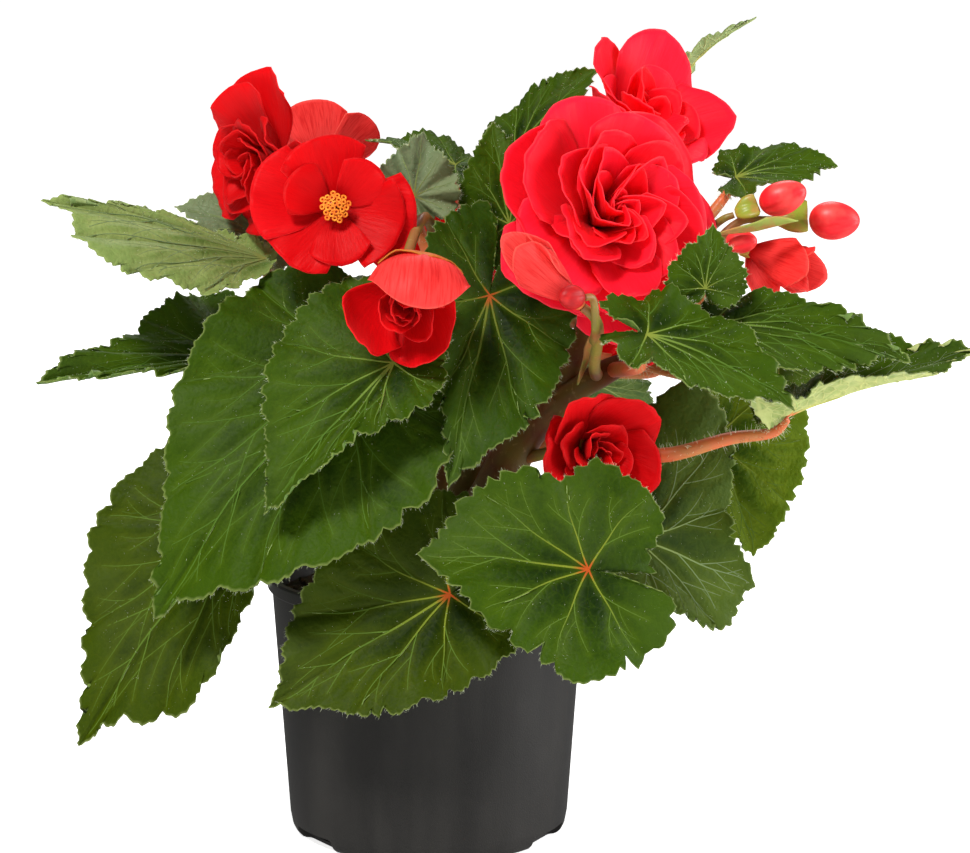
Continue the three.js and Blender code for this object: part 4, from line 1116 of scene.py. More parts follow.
BLOOMS = [
    bloom("large", (67, -46, 265), (0.48, -0.81, 0.34), [(67, -15, 232), (66, -24, 250)], [
        ring(6, 6, 50, 31, 82, -14, 90, ruffle=2),
        ring(5, 44, 45, 29, 62, -6, 60, ruffle=2),
        ring(4, 25, 34, 18, 38, 10, 26, point=3),
        ring(6, 60, 39, 20, 52, 0, 36, ruffle=1.6, point=2, rise=2.5, lean=14),
        ring(6, 5, 31, 14, 36, 6, 20, ruffle=1, point=4, rise=3, lean=22, fold=0.35),
        ring(6, 40, 26, 11, 24, 4, 13, ruffle=0.8, point=4, rise=3.5, lean=28, fold=0.5),
        ring(5, 10, 21, 8, 13, 0, 9, ruffle=0.5, point=4, rise=4, lean=34, fold=0.6),
        ring(4, 50, 17, 6, 6, 0, 6, ruffle=0.3, point=3, rise=4, lean=34, fold=0.7),
    ], finish="rose"),
    bloom("top", (83, 18, 293), (0.52, -0.52, 0.68), [(50, 7, 246), (72, 20, 268)], [
        ring(5, 32, 41, 24, 54, -14, 40, point=5, ruffle=1.6),
        ring(4, 60, 32, 16, 34, 4, 24),
        ring(4, 10, 26, 12, 24, 4, 16, rise=2.5, lean=18, point=3),
        ring(3, 40, 20, 9, 12, 2, 10, rise=3, lean=26, fold=0.4, point=3),
    ], finish="rose"),
    bloom("left", (-60, -13, 287), (-0.82, -0.56, -0.08), [(-46, -2, 248), (-46, -4, 270)], [
        ring(3, 250, 38, 26, 88, -14, 50, ruffle=2),
        ring(4, 20, 33, 20, 62, -6, 40, ruffle=2),
        ring(4, 60, 27, 15, 38, 4, 24),
        ring(5, 10, 24, 12, 28, 4, 16, rise=2.5, lean=18, ruffle=1.2),
        ring(4, 50, 19, 9, 16, 2, 10, rise=3, lean=26, fold=0.4),
    ]),
    bloom("single", (-36, -57, 272), (0.05, -0.96, 0.25), [(-45, -2, 244), (-40, -24, 256)], [
        ring(2, 78, 33, 23, 84, -4, 60, ruffle=2),
        ring(3, 12, 27, 21, 76, -2, 60, ruffle=2),
        ring(3, 66, 22, 14, 64, 6, 50),
    ]),
    bloom("left_back", (-44, 20, 282), (0.1, 0.8, 0.55), [(-45, -3, 244), (-44, 8, 262)], [
        ring(4, -15, 27, 17, 58, -6, 40),
        ring(4, 30, 20, 11, 36, 0, 20, rise=2),
        ring(3, 60, 14, 7, 14, 0, 9, rise=3, lean=24),
    ], finish="coral"),
    bloom("hooded", (-7, -84, 246), (0.06, -0.9, -0.43), [(26, -1, 175), (10, -14, 225), (0, -48, 268)], [
        ring(1, 350, 51, 27, 98, -168, 24, ruffle=0.5),
        ring(1, 118, 36, 20, 92, -118, 22, finish="crimson"),
        ring(1, 214, 35, 25, 92, -118, 22, finish="crimson"),
        ring(4, 30, 24, 11, 44, -46, 12, rise=3, lean=20, ruffle=0.8, finish="crimson"),
        ring(4, 70, 20, 9, 30, -40, 9, rise=4, lean=26, ruffle=0.6, finish="crimson"),
        ring(4, 10, 17, 6, 14, -20, 7, rise=4, lean=32, fold=0.3, finish="crimson"),
        ring(1, 344, 25, 23, 98, -80, 24, start=4.2, rise=0, point=2, finish="sepal"),
    ], finish="coral"),
    bloom("low", (64, -45, 174), (0.36, -0.92, -0.08), [(34, -14, 162), (50, -27, 168)], [
        ring(5, 26, 29, 20, 60, -22, 30, point=5, ruffle=1.4),
        ring(4, 60, 22, 12, 34, 6, 16),
        ring(4, 20, 18, 8, 22, 4, 11, rise=2.5, lean=22, fold=0.3),
        ring(3, 50, 14, 6, 10, 0, 7, rise=3, lean=28, fold=0.4),
    ]),
    bloom("inner", (84, 8, 216), (0.2, -0.9, 0.3), [(41, 3, 218), (62, 14, 216)], [
        ring(5, 40, 23, 13, 64, -8, 30),
        ring(4, 10, 16, 9, 34, 0, 14, rise=2, lean=18),
    ]),
    bloom("half_open", (133, -12, 250), (0.82, -0.4, -0.24), [(94, -38, 213), (112, -8, 244)], [
        ring(1, 176, 24, 13, 66, -24, 14),
        ring(2, 70, 29, 13, 26, -12, 14, point=3),
        ring(2, 10, 24, 10, 14, -8, 9, point=3),
        ring(3, 60, 18, 6, 8, -4, 6, rise=2, lean=20),
    ], finish="coral"),
    bloom("opening", (58, -104, 243), (-0.7, -0.2, 0.66), [(70, -28, 200), (68, -58, 209)], [
        ring(2, 90, 31, 12, 18, -18, 11, point=4),
        ring(1, 0, 26, 10, 10, -12, 9, point=2),
        ring(3, 40, 20, 6, 6, -6, 6, rise=2, lean=20),
    ], finish="coral"),
    bloom("back", (16, 70, 238), (0.05, 0.85, 0.5), [(14, 47, 216), (15, 56, 228)], [
        ring(5, 0, 36, 21, 78, -8, 60, ruffle=2),
        ring(3, 36, 29, 17, 46, 4, 26),
        ring(5, 10, 24, 11, 30, 4, 16, rise=2.5, lean=18),
        ring(4, 50, 18, 8, 16, 2, 10, rise=3, lean=26, fold=0.4),
    ]),
]


# Petals longer, wider or more curled than these have a finer mesh: rows along, columns across.
LONG_PETAL = 26
WIDE_PETAL = 18
MIDDLE_WIDTH = 9
HOODED_CURL = 60

# How far a petal's length, width and angles may stray by chance, and how much more the inner ones do.
STRAY_TURN = 5
STRAY_LENGTH = 0.03
STRAY_WIDTH = 0.05
STRAY_OPENING = 2
STRAY_LEAN = 4
INNER_STRAY = 2.2


# A flower's unit axis, with the directions across it: the most upward one, and the one beside it.
def across_axis(axis):
    axis = unit(axis)
    upward = unit(np.array((0, 0, 1.0)) - axis * axis[2])
    return axis, upward, np.cross(axis, upward)


# How far a petal waves and ripples towards its edges, with its lip curled back and its middle creased.
def petal_relief(petal, s, t):
    phase, ruffle = petal["phase"], petal["ruffle"]
    waved = ruffle * s * s * np.sin(petal["waves"] * t + petal["azimuth"])
    end = ruffle * (0.45 * s ** 4 * np.sin(7 * t + phase) + 0.3 * s ** 8 * np.sin(15 * t + 2 * phase))
    sides = 0.5 * ruffle * np.abs(t) ** 3 * np.sin(8 * s + phase)
    curled = petal["lip"] * np.clip((s - 0.66) / 0.34, 0, 1) ** 2 * (1 + 0.5 * np.sin(3 * t + phase))
    crease = 0.35 * s * (1 - s) * np.exp(-((t / 0.1) ** 2))
    return waved + end + sides - curled - crease


# Points of a petal, s along it and t across it from -1 to 1, as in the solid model but finer.
def on_petal(flower, petal, s, t):
    axis, upward, side = across_axis(flower["axis"])
    rounded = 1 - 0.3 * np.abs(t) ** 2.5 * s * s
    along = petal["length"] * s * rounded + petal["point"] * (1 - np.abs(t)) * s ** 4
    across = petal["width"] * t * (0.12 + 1.5 * s - 0.74 * s * s)
    open_angle = math.radians(petal["open"])
    bend = math.radians(petal["curl"] or 0.1) / petal["length"]
    angle = open_angle + bend * along
    radius = petal["start"] + (math.cos(open_angle) - np.cos(angle)) / bend
    height = petal["rise"] + (np.sin(angle) - math.sin(open_angle)) / bend
    lean = math.radians(petal["lean"])
    cup = petal["cup"]
    sideways = cup * np.sin(across / cup)
    cupped = cup * (1 - np.cos(across / cup)) + petal["fold"] * (np.hypot(across, 1) - 1)
    lateral = sideways * math.cos(lean) - cupped * math.sin(lean)
    inward = sideways * math.sin(lean) + cupped * math.cos(lean) + petal_relief(petal, s, t)
    azimuth = math.radians(petal["azimuth"])
    radial = upward * math.cos(azimuth) + side * math.sin(azimuth)
    tangent = np.cross(axis, radial)
    return (
        flower["base"]
        + np.outer(radius - inward * np.cos(angle), radial)
        + np.outer(height + inward * np.sin(angle), axis)
        + np.outer(lateral, tangent)
    )


def petal_sheet(flower, petal, material, tone=0.5):
    rows = 26 if abs(petal["curl"]) > HOODED_CURL else 17 if petal["length"] > LONG_PETAL else 12
    columns = 18 if petal["width"] > WIDE_PETAL else 12 if petal["width"] > MIDDLE_WIDTH else 10

    def place(u, v):
        return on_petal(flower, petal, v, 2 * u - 1)

    piece, u, v = grid("petal", columns, rows, place)
    piece.data.materials.append(material)
    middle = on_petal(flower, petal, np.array([0.5, 0.6, 0.5]), np.array([0.0, 0.0, 0.1]))
    inside = np.cross(middle[2] - middle[0], middle[1] - middle[0])
    flip_to(piece, -inside if inside @ flower["axis"] < 0 else inside)
    put_attribute(piece, "tone", np.full(len(u), tone))
    put_attribute(piece, "edge", np.maximum(np.abs(2 * u - 1), v))
    thicken(piece, PETAL)
    smooth(piece)
    return piece


# One petal of a ring, a little unlike its neighbours. k counts rings from outside, i its petals.
def drawn_petal(row, k, i, draw):
    inner = row["rise"] is not None
    loose = INNER_STRAY if inner else 1.0
    shift = math.sin(5.1 * i + 1.7 * k)
    petal = dict(row)
    petal["rise"] = (row["rise"] + draw.uniform(-1, 1)) if inner else k
    petal["azimuth"] = row["first"] + 360 * i / row["count"] + 5 * shift
    petal["azimuth"] += loose * draw.uniform(-STRAY_TURN, STRAY_TURN)
    petal["length"] *= 1 + 0.05 * shift + STRAY_LENGTH * loose * draw.uniform(-1, 1)
    petal["width"] *= 1 + STRAY_WIDTH * loose * draw.uniform(-1, 1)
    petal["open"] += 3 * shift + STRAY_OPENING * loose * draw.uniform(-1, 1)
    petal["lean"] += STRAY_LEAN * loose * draw.uniform(-1, 1)
    petal["fold"] *= draw.uniform(0.5, 1.3)
    petal["phase"] = draw.uniform(0, 2 * math.pi)
    petal["lip"] = row["length"] * draw.uniform(0.02, 0.08) * (0.4 if inner else 1)
    return petal


# The rings of petals round a rounded heart, which faces the end of the flower stalk.
def bloom_piece(flower, finishes):
    draw = random.Random("bloom " + flower["name"])
    sheets = []
    for k, row in enumerate(flower["rings"]):
        for i in range(row["count"]):
            petal = drawn_petal(row, k, i, draw)
            # Half of the tone is chance; the other half makes the outer rings paler pink, painted sheen
            # where they face the light.
            tone = 0.5 * draw.random() + 0.5 * (1 - k / len(flower["rings"])) ** 2
            skin = finishes[row["finish"] or flower["finish"]]
            sheets.append(petal_sheet(flower, petal, skin, tone))
    heart = dict(
        points=[flower["base"] + flower["axis"] * h for h in (-HEART_DEPTH, -2.5, 0, HEART_TOP)],
        radii=(2.0, 3.4, 3.6, 2.0),
        along=0.0,
    )
    finished("bloom_" + flower["name"], "petal", *sheets, tubes("heart", [heart], 10, finishes["heart"]))


STAMENS = 26
TUFT_RADIUS = 5.6
TUFT_HEIGHT = 8.6
GOLDEN_TURN = 2.39996
FILAMENT_RADIUS = 0.42
ANTHER_RADIUS = 0.85
ANTHER_THICKNESS = 0.4


# The stamens: filaments with bent ring-shaped ends, close together on a small dome.
def stamen_piece(materials):
    flower = next(row for row in BLOOMS if row["name"] == "single")
    axis, upward, side = across_axis(flower["axis"])
    paths, loops = [], []
    for i in range(STAMENS):
        radius = TUFT_RADIUS * math.sqrt((i + 0.5) / STAMENS)
        turn = i * GOLDEN_TURN
        outward = upward * math.cos(turn) + side * math.sin(turn)
        foot = flower["base"] + axis * (HEART_TOP + 1.2) + outward * 0.35 * radius
        top = flower["base"] + axis * (HEART_TOP + TUFT_HEIGHT - 0.09 * radius ** 2) + outward * radius
        bend = (foot + top) / 2 + axis * 0.6
        way = smooth_way([foot, bend, top], 5)
        paths.append(dict(points=way, radii=[FILAMENT_RADIUS] * len(way), along=0.5))
        aim = unit(axis + 0.1 * radius * outward)
        first = unit(np.cross(aim, (0.2, 0.3, 0.9)))
        second = np.cross(aim, first)
        hoop = [
            top + aim * 0.5 + ANTHER_RADIUS * (math.cos(a) * first + math.sin(a) * second)
            for a in np.linspace(0, 2 * math.pi, 11)
        ]
        loops.append(dict(points=hoop, radii=[ANTHER_THICKNESS] * len(hoop), along=0.5))
    dome = dict(
        points=[flower["base"] + axis * (HEART_TOP + h) for h in (0.7, 1.6, 2.6, 3.2)],
        radii=(2.6, 3.0, 2.2, 0.6),
        along=0.0,
    )
    finished(
        "stamens",
        "stamens",
        tubes("filaments", paths, 6, materials["filament"]),
        tubes("anthers", loops, 7, materials["anther"]),
        tubes("dome", [dome], 12, materials["filament"]),
    )


# Buds, seed cases and bracts

BUDS = [
    dict(name="right", base=(157.5, -13, 263), axis=(1, -0.1, -0.02), length=21, width=15),
    dict(name="right_upper", base=(135.8, -31, 270.6), axis=(0.9, -0.1, 0.35), length=20, width=13),
    dict(name="right_near", base=(122, -32, 256), axis=(0.95, -0.2, 0.05), length=13, width=9,
         stalk=[(112, -8, 244), (116, -22, 252)]),
    dict(name="small", base=(62, -110, 244), axis=(-0.6, -0.5, 0.1), length=12, width=9,
         stalk=[(67, -84, 223), (67, -103, 232)], finish="bud_deep"),
    dict(name="back", base=(66, 48, 236), axis=(0.6, 0.4, -0.3), length=20, width=14,
         stalk=[(14, 47, 216), (40, 40, 236)]),
]
SEED_CASES = [
    dict(name="right", base=(144, -13, 263), axis=(1, 0, 0), length=13, width=10,
         stalk=[(112, -8, 244), (129, -6, 261)]),
    dict(name="near", base=(126, -30, 267), axis=(0.94, -0.1, 0.35), length=10, width=7,
         stalk=[(112, -8, 244), (116, -22, 259)]),
]
BRACTS = [
    dict(name="fork", base=(60, -32.9, 198), axis=(0.3, -0.1, 0.95), azimuth=180, length=24, width=9),
    dict(name="right", base=(118, -38, 262), axis=(1, -0.1, 0.22), azimuth=150, length=30, width=8),
]


BUD_DEPTH = 0.84
BUD_MESH = (48, 24)
SEED_MESH = (60, 20)
SEED_WING = 0.62
SEED_CORE = 0.42
BRACT_SHARE = 0.7


# A body round an axis: radius(turn, v) gives its half widths along the two cross directions.
def round_body(name, row, radius, mesh, material):
    axis, upward, side = across_axis(row["axis"])
    base = np.array(row["base"], float)

    def place(u, v):
        turn = 2 * math.pi * u
        wide, deep = radius(turn, v)
        return (
            base
            + np.outer(row["length"] * (1 - np.cos(math.pi * v)) / 2, axis)
            + np.outer(wide * np.cos(turn), upward)
            + np.outer(deep * np.sin(turn), side)
        )

    piece = grid(name, *mesh, place)[0]
    piece.data.materials.append(material)
    edit(piece, close_seam, turn_outward)
    smooth(piece)
    return piece


# An egg-shaped bud with two lapped petals, and a seam where they meet.
def bud_piece(row, finishes):
    def radius(turn, v):
        share = (1 - np.cos(math.pi * v)) / 2
        round_off = np.sqrt(np.clip(1 - (2 * share - 1) ** 2, 0, 1))
        egg = round_off * (1.06 - 0.22 * (share - 0.5)) * row["width"] / 2
        seam = 1 - 0.13 * np.exp(-((np.cos(turn - 0.5 + 0.5 * share) / 0.16) ** 2)) * np.sin(math.pi * v)
        lap = 1 + 0.05 * np.sin(turn - 0.5) * np.sin(math.pi * v)
        return egg * seam * lap, egg * seam * lap * BUD_DEPTH

    name = "bud_" + row["name"]
    finished(name, "bud", round_body(name, row, radius, BUD_MESH, finishes[row.get("finish", "bud")]))


# A seed case with three wings.
def seed_piece(row, finishes):
    def radius(turn, v):
        share = (1 - np.cos(math.pi * v)) / 2
        swell = np.sin(math.pi * np.clip(0.12 + 0.84 * share, 0, 1)) ** 0.6
        core = SEED_CORE * row["width"] * swell
        wing = np.abs(np.cos(1.5 * turn)) ** 6 * row["width"] * SEED_WING * share ** 0.7
        reach = (core + wing) * np.clip(np.sin(math.pi * v) * 4, 0, 1)
        return reach, reach

    name = "seed_case_" + row["name"]
    finished(name, "seed_case", round_body(name, row, radius, SEED_MESH, finishes["seed"]))


def bract_piece(row, finishes):
    petal = dict(
        length=row["length"], width=BRACT_SHARE * row["width"], azimuth=row["azimuth"], start=2.0,
        rise=0.0, point=3.0, lean=0, ruffle=0.5, waves=4, open=6, curl=-8, cup=8, fold=0.0, phase=0.0,
        lip=0.0,
    )
    flower = dict(base=np.array(row["base"], float), axis=unit(row["axis"]))
    finished("bract_" + row["name"], "bract", petal_sheet(flower, petal, finishes["bract"]))


# Stems and stalks

STEMS = [
    ([(6, -2, 94), (16, -8, 128), (34, -16, 162), (54, -22, 190)], (9, 9, 8, 6)),
    ([(50, -21, 185), (72, -29, 201), (94, -38, 213)], (6, 5, 4)),
    ([(50, -20, 184), (64, -18, 212), (68, -14, 240)], (6, 5, 3.4)),
    ([(6, 2, 94), (12, 2, 135), (26, 0, 175), (40, 3, 215), (52, 8, 252)], (7, 7, 6, 5, 3.6)),
    ([(0, 0, 94), (-18, 0, 135), (-32, -4, 180), (-42, -4, 225), (-46, -2, 252)], (7, 7, 6, 4.6, 3.2)),
    ([(4, 4, 94), (6, 24, 135), (10, 40, 180), (14, 48, 222)], (7, 6, 5, 3.6)),
]
FLOWER_STALK = (2.8, 2.2, 1.8)
BUD_STALK = (2, 1.6, 1.3)
CROWN_FOOT = 86
SOIL_TOP = 102
CROWN = (4, 0)
STEM_SIDES = 14
DOWN_WIDTH = 0.11
DOWN_LENGTHS = (1.0, 4.2)


# A smooth stalk. The attribute "along" runs from the foot's tone to 1, and "ripe" is 1 on the
# yellow-green stalks of flowers.
def stalk_path(points, radii, ripe, foot_tone=0.3):
    steps = 7 * (len(points) - 1)
    way = smooth_way(points, steps)
    share = np.linspace(0, 1, len(way))
    width = np.interp(share, np.linspace(0, 1, len(radii)), radii)
    return dict(points=way, radii=width, along=foot_tone + (1 - foot_tone) * share, ripe=ripe)


# A main stem, a little thicker at each joint.
def stem_path(points, radii):
    path = stalk_path(points, radii, 0.0)
    share = np.linspace(0, 1, len(path["points"]))
    path["radii"] = path["radii"] * (1 + 0.07 * np.cos(2 * math.pi * (len(points) - 1) * share))
    path["along"] = 0.12 * share
    return path


# A leaf's stalk, which comes up to the joint from below and ends just inside the drawn blade.
def leaf_stalk_path(row):
    below = CAD_BLADE + 3 * GAP + 0.6 * STALK_TIP
    end = row["joint"] - below * row["up"] - row["ahead"]
    near = end - row["hold"] * row["up"] - 6 * row["ahead"]
    radii = (row["thick"], (row["thick"] + STALK_TIP) / 2, STALK_TIP)
    path = stalk_path([*row["stalk"], near, end], radii, 0.0)
    path["points"] = np.concatenate([path["points"], [end + row["up"] * 1.4]])
    path["radii"] = np.concatenate([path["radii"], [STALK_TIP * 0.8]])
    path["along"] = np.concatenate([path["along"], [1.0]])
    return path


# Soft hairs on the leaf stalks, drawn from a fixed seed.
def stalk_down(paths, material):
    draw = np.random.default_rng(5)
    roots, ways, lengths = [], [], []
    for path in paths:
        spine, radii = path["points"], path["radii"]
        many = 8 * len(spine)
        share = draw.uniform(0.15, 1, many) ** 0.7
        at = np.clip((share * (len(spine) - 1)).astype(int), 0, len(spine) - 2)
        ahead = spine[at + 1] - spine[at]
        out = np.cross(ahead, draw.normal(0, 1, (many, 3)))
        out /= np.linalg.norm(out, axis=1)[:, None]
        mix = draw.uniform(0, 1, (many, 1))
        centre = spine[at] + mix * ahead
        roots.append(centre + out * radii[at][:, None] * 0.95)
        ways.append(out + draw.normal(0, 0.25, (many, 3)))
        lengths.append(draw.uniform(*DOWN_LENGTHS, many))
    placed = [np.concatenate(rows) for rows in (roots, ways, lengths)]
    return hairs("down", *placed, DOWN_WIDTH, material)


def stem_piece(finishes):
    leaf_stalks = [leaf_stalk_path(row) for row in LEAVES]
    paths = [stem_path(*stem) for stem in STEMS] + leaf_stalks
    for flower in BLOOMS:
        end = flower["base"] - flower["axis"] * (HEART_DEPTH + 2 * GAP)
        near = end - flower["axis"] * 7
        paths.append(stalk_path([*flower["stalk"], near, end], FLOWER_STALK, 1.0))
    for bud in BUDS + SEED_CASES:
        if "stalk" in bud:
            axis = unit(bud["axis"])
            end = np.array(bud["base"], float) - 2 * GAP * axis
            paths.append(stalk_path([*bud["stalk"], end - 4 * axis, end], BUD_STALK, 1.0))
    heights = (CROWN_FOOT, 92, SOIL_TOP - 1, SOIL_TOP + 6, SOIL_TOP + 11)
    crown = [(*CROWN, z) for z in heights]
    paths.append(dict(points=crown, radii=(16.5, 17, 17, 13, 5), along=0.0, ripe=0.0))
    body = tubes("stems", paths, STEM_SIDES, finishes["stem"], ("along", "ripe"))
    finished("stems", "stem", body, stalk_down(leaf_stalks, finishes["hair"]))


# Pot and soil

RIM_RADIUS = 66.5
POT_HEIGHT = 112
FOOT_RADIUS = 58.5
POT_WALL = 1.5
LIP_WIDTH = 1.8
LIP_HEIGHT = 6
CORNER = 6
PAD_RADIUS = 20
FLOOR_RISE = 3
POT_SIDES = 120
SLOT_HEIGHT = 6.2
SLOT_ANGLE = 27
SLOT_DEPTH = 8
SLOT_ROUNDING = 1.6
SLOT_CENTRES = (-147, -27, 93)
DRAINS = 6
FIRST_DRAIN = 30
DRAIN_RADIUS = 4
DRAIN_CIRCLE = 35


def wall_radius(z):
    return FOOT_RADIUS + (RIM_RADIUS - FOOT_RADIUS) * z / POT_HEIGHT


# Grows a round shell from its first ring, ring by ring, by extruding and scaling the open edge.
def grown_round(name, profile, sides):
    bpy.ops.object.select_all(action="DESELECT")
    radius, z = profile[0]
    bpy.ops.mesh.primitive_circle_add(vertices=sides, radius=radius * MM, location=(0, 0, z * MM))
    piece = bpy.context.object
    settle(piece)
    rename(piece, name)
    bpy.ops.object.mode_set(mode="EDIT")
    bpy.ops.mesh.select_all(action="SELECT")
    bpy.ops.mesh.edge_face_add()
    for radius, z in profile[1:]:
        old_radius, old_z = open_ring(piece)
        bpy.ops.mesh.extrude_region_move(TRANSFORM_OT_translate={"value": (0, 0, z * MM - old_z)})
        grow = radius * MM / old_radius
        bpy.ops.transform.resize(value=(grow, grow, 1), center_override=(0, 0, 0))
    turn_outward()
    bpy.ops.object.mode_set(mode="OBJECT")
    return piece


# Radius and height of the ring that is selected, in metres.
def open_ring(piece):
    bpy.ops.object.mode_set(mode="OBJECT")
    chosen = [v.co for v in piece.data.vertices if v.select]
    bpy.ops.object.mode_set(mode="EDIT")
    return max(math.hypot(place.x, place.y) for place in chosen), chosen[0].z


# Radii and heights of the pot's section, from the pad below, up the outside and down the inside.
def pot_profile():
    raised_from = PAD_RADIUS + FLOOR_RISE
    raised_to = FOOT_RADIUS - CORNER - 2 * FLOOR_RISE
    lip_foot = POT_HEIGHT - LIP_HEIGHT
    corner = [
        (FOOT_RADIUS - CORNER + CORNER * math.sin(a), CORNER - CORNER * math.cos(a))
        for a in (math.radians(d) for d in (0, 18, 36, 54, 72))
    ]
    outer = [
        (PAD_RADIUS, 0.0),
        (PAD_RADIUS + 0.6, 0.3),
        (raised_from, FLOOR_RISE),
        (raised_to, FLOOR_RISE),
        (raised_to + FLOOR_RISE - 0.5, 0.3),
        (raised_to + FLOOR_RISE, 0.0),
        *corner,
        (wall_radius(9), 9),
        (wall_radius(40), 40),
        (wall_radius(75), 75),
        (wall_radius(lip_foot) - 0.05, lip_foot - 0.3),
        (wall_radius(lip_foot) + LIP_WIDTH - 0.5, lip_foot),
        (wall_radius(lip_foot) + LIP_WIDTH, lip_foot + 0.6),
        (RIM_RADIUS + LIP_WIDTH, POT_HEIGHT - 0.9),
        (RIM_RADIUS + LIP_WIDTH - 0.7, POT_HEIGHT),
    ]
    inner = [
        (RIM_RADIUS - POT_WALL + 0.5, POT_HEIGHT),
        (RIM_RADIUS - POT_WALL, POT_HEIGHT - 0.6),
        (wall_radius(CORNER) - POT_WALL, CORNER),
        (FOOT_RADIUS - CORNER, POT_WALL),
        (raised_to + FLOOR_RISE, POT_WALL),
        (raised_to, FLOOR_RISE + POT_WALL),
        (raised_from, FLOOR_RISE + POT_WALL),
        (PAD_RADIUS, POT_WALL),
    ]
    return outer + inner


def cut(piece, cutter):
    apply_modifier(piece, "hole", "BOOLEAN", operation="DIFFERENCE", solver="EXACT", object=cutter)
    bpy.data.objects.remove(cutter)


def slot_cutter(degrees):
    turn = math.radians(degrees)
    place = Vector((math.cos(turn), math.sin(turn), 0)) * FOOT_RADIUS * MM
    bpy.ops.object.select_all(action="DESELECT")
    bpy.ops.mesh.primitive_cube_add(size=1, location=place, rotation=(0, 0, turn))
    cutter = bpy.context.object
    width = 2 * FOOT_RADIUS * math.sin(math.radians(SLOT_ANGLE / 2))
    cutter.scale = (2 * SLOT_DEPTH * MM, width * MM, 2 * SLOT_HEIGHT * MM)
    settle(cutter)
    apply_modifier(cutter, "round", "BEVEL", width=SLOT_ROUNDING * MM, segments=3)
    return cutter


def drain_cutter(degrees):
    turn = math.radians(degrees)
    place = Vector((math.cos(turn), math.sin(turn), 0)) * DRAIN_CIRCLE * MM
    bpy.ops.object.select_all(action="DESELECT")
    bpy.ops.mesh.primitive_cylinder_add(
        vertices=28, radius=DRAIN_RADIUS * MM, depth=8 * FLOOR_RISE * MM, location=place,
    )
    cutter = bpy.context.object
    settle(cutter)
    return cutter


def pot_piece(material):
    piece = grown_round("pot", pot_profile(), POT_SIDES)
    for degrees in SLOT_CENTRES:
        cut(piece, slot_cutter(degrees))
    for i in range(DRAINS):
        cut(piece, drain_cutter(FIRST_DRAIN + 360 / DRAINS * i))
    piece.data.materials.clear()
    piece.data.materials.append(material)
    smooth(piece, 28)
    finished("pot", "pot", piece)


SOIL_MESH = (160, 70)
SOIL_FOOT = 6
BED_SHARE = 0.86
CRUMBS = 240
CRUMB_SIZES = (0.8, 2.4)
CRUMB_LIFT = 1.4


# A crumb of compost that lies on the bed at a random place within a reach of its middle.
def crumb_piece(reach, chance, material):
    radius = reach * math.sqrt(chance.uniform(0.08, 1))
    turn = chance.uniform(0, 2 * math.pi)
    bpy.ops.mesh.primitive_ico_sphere_add(subdivisions=1, radius=chance.uniform(*CRUMB_SIZES) * MM)
    crumb = bpy.context.object
    crumb.scale = (1, chance.uniform(0.5, 1.2), chance.uniform(0.35, 0.8))
    crumb.rotation_euler = [chance.uniform(0, 3) for _ in range(3)]
    x, y = radius * math.cos(turn), radius * math.sin(turn)
    crumb.location = (x * MM, y * MM, (SOIL_TOP + CRUMB_LIFT) * MM)
    crumb.data.materials.append(material)
    return crumb


# The compost: a slightly domed, rough bed whose wall goes down inside the pot.
def soil_piece(material):
    rim = wall_radius(SOIL_TOP) - POT_WALL - GAP

    def place(u, v):
        turn = 2 * math.pi * u
        share = np.clip(v / BED_SHARE, 0, 1)
        wall = np.clip((v - BED_SHARE) / (1 - BED_SHARE), 0, 1)
        radius = rim * share * (1 - 0.1 * wall)
        x, y = radius * np.cos(turn), radius * np.sin(turn)
        rough = np.array([
            1.5 * noise.noise((a * 0.11, b * 0.11, 0.3)) + 1.1 * noise.noise((a * 0.35, b * 0.35, 4.1))
            for a, b in zip(x, y)
        ])
        top = SOIL_TOP + 1.2 * (1 - share ** 2) + rough * (1 - share ** 8)
        z = np.where(v > BED_SHARE, SOIL_TOP - wall * (SOIL_TOP - SOIL_FOOT), top)
        return np.stack([x, y, z], axis=1)

    bed = grid("soil", *SOIL_MESH, place)[0]
    edit(bed, close_seam, fill_openings, turn_outward)
    bed.data.materials.append(material)
    chance = random.Random(20417)
    crumbs = [crumb_piece(rim - 4, chance, material) for _ in range(CRUMBS)]
    settle(*crumbs)
    select_only(bed, *crumbs)
    bpy.ops.object.shade_smooth()
    finished("soil", "soil", bed, *crumbs)


# Making everything

# Upper sides of leaves: dark and light green, then how dull they are, which also strengthens their painted
# sheen and painted glints.
LEAF_FACES = {
    "leaf_face": ((0.006, 0.018, 0.0004), (0.032, 0.069, 0.001)),
    "leaf_face_fresh": ((0.022, 0.05, 0.0008), (0.078, 0.13, 0.003)),
    "leaf_face_dull": ((0.014, 0.032, 0.001), (0.045, 0.08, 0.002), 0.08),
    "leaf_face_grey": ((0.05, 0.095, 0.025), (0.15, 0.215, 0.09), 0.3),
    "leaf_face_pale": ((0.06, 0.12, 0.015), (0.14, 0.22, 0.05), 0.25),
    # A darker copy of leaf_face, for a leaf that lies in shade: painted shade.
    "leaf_face_shaded": ((0.005, 0.013, 0.0003), (0.024, 0.056, 0.0008)),
    "leaf_face_olive": ((0.008, 0.018, 0.0002), (0.034, 0.057, 0.0003)),
    "leaf_face_lime": ((0.06, 0.12, 0.012), (0.2, 0.28, 0.07), 0.1),
}
LEAF_BACKS = {
    "leaf_back": (0.11, 0.2, 0.03),
    "leaf_back_fresh": (0.17, 0.26, 0.04),
    "leaf_back_dull": (0.2, 0.27, 0.13),
    "leaf_back_pale": (0.24, 0.33, 0.12),
    "leaf_back_olive": (0.13, 0.2, 0.03),
    "leaf_back_silver": (0.4, 0.46, 0.16),
}

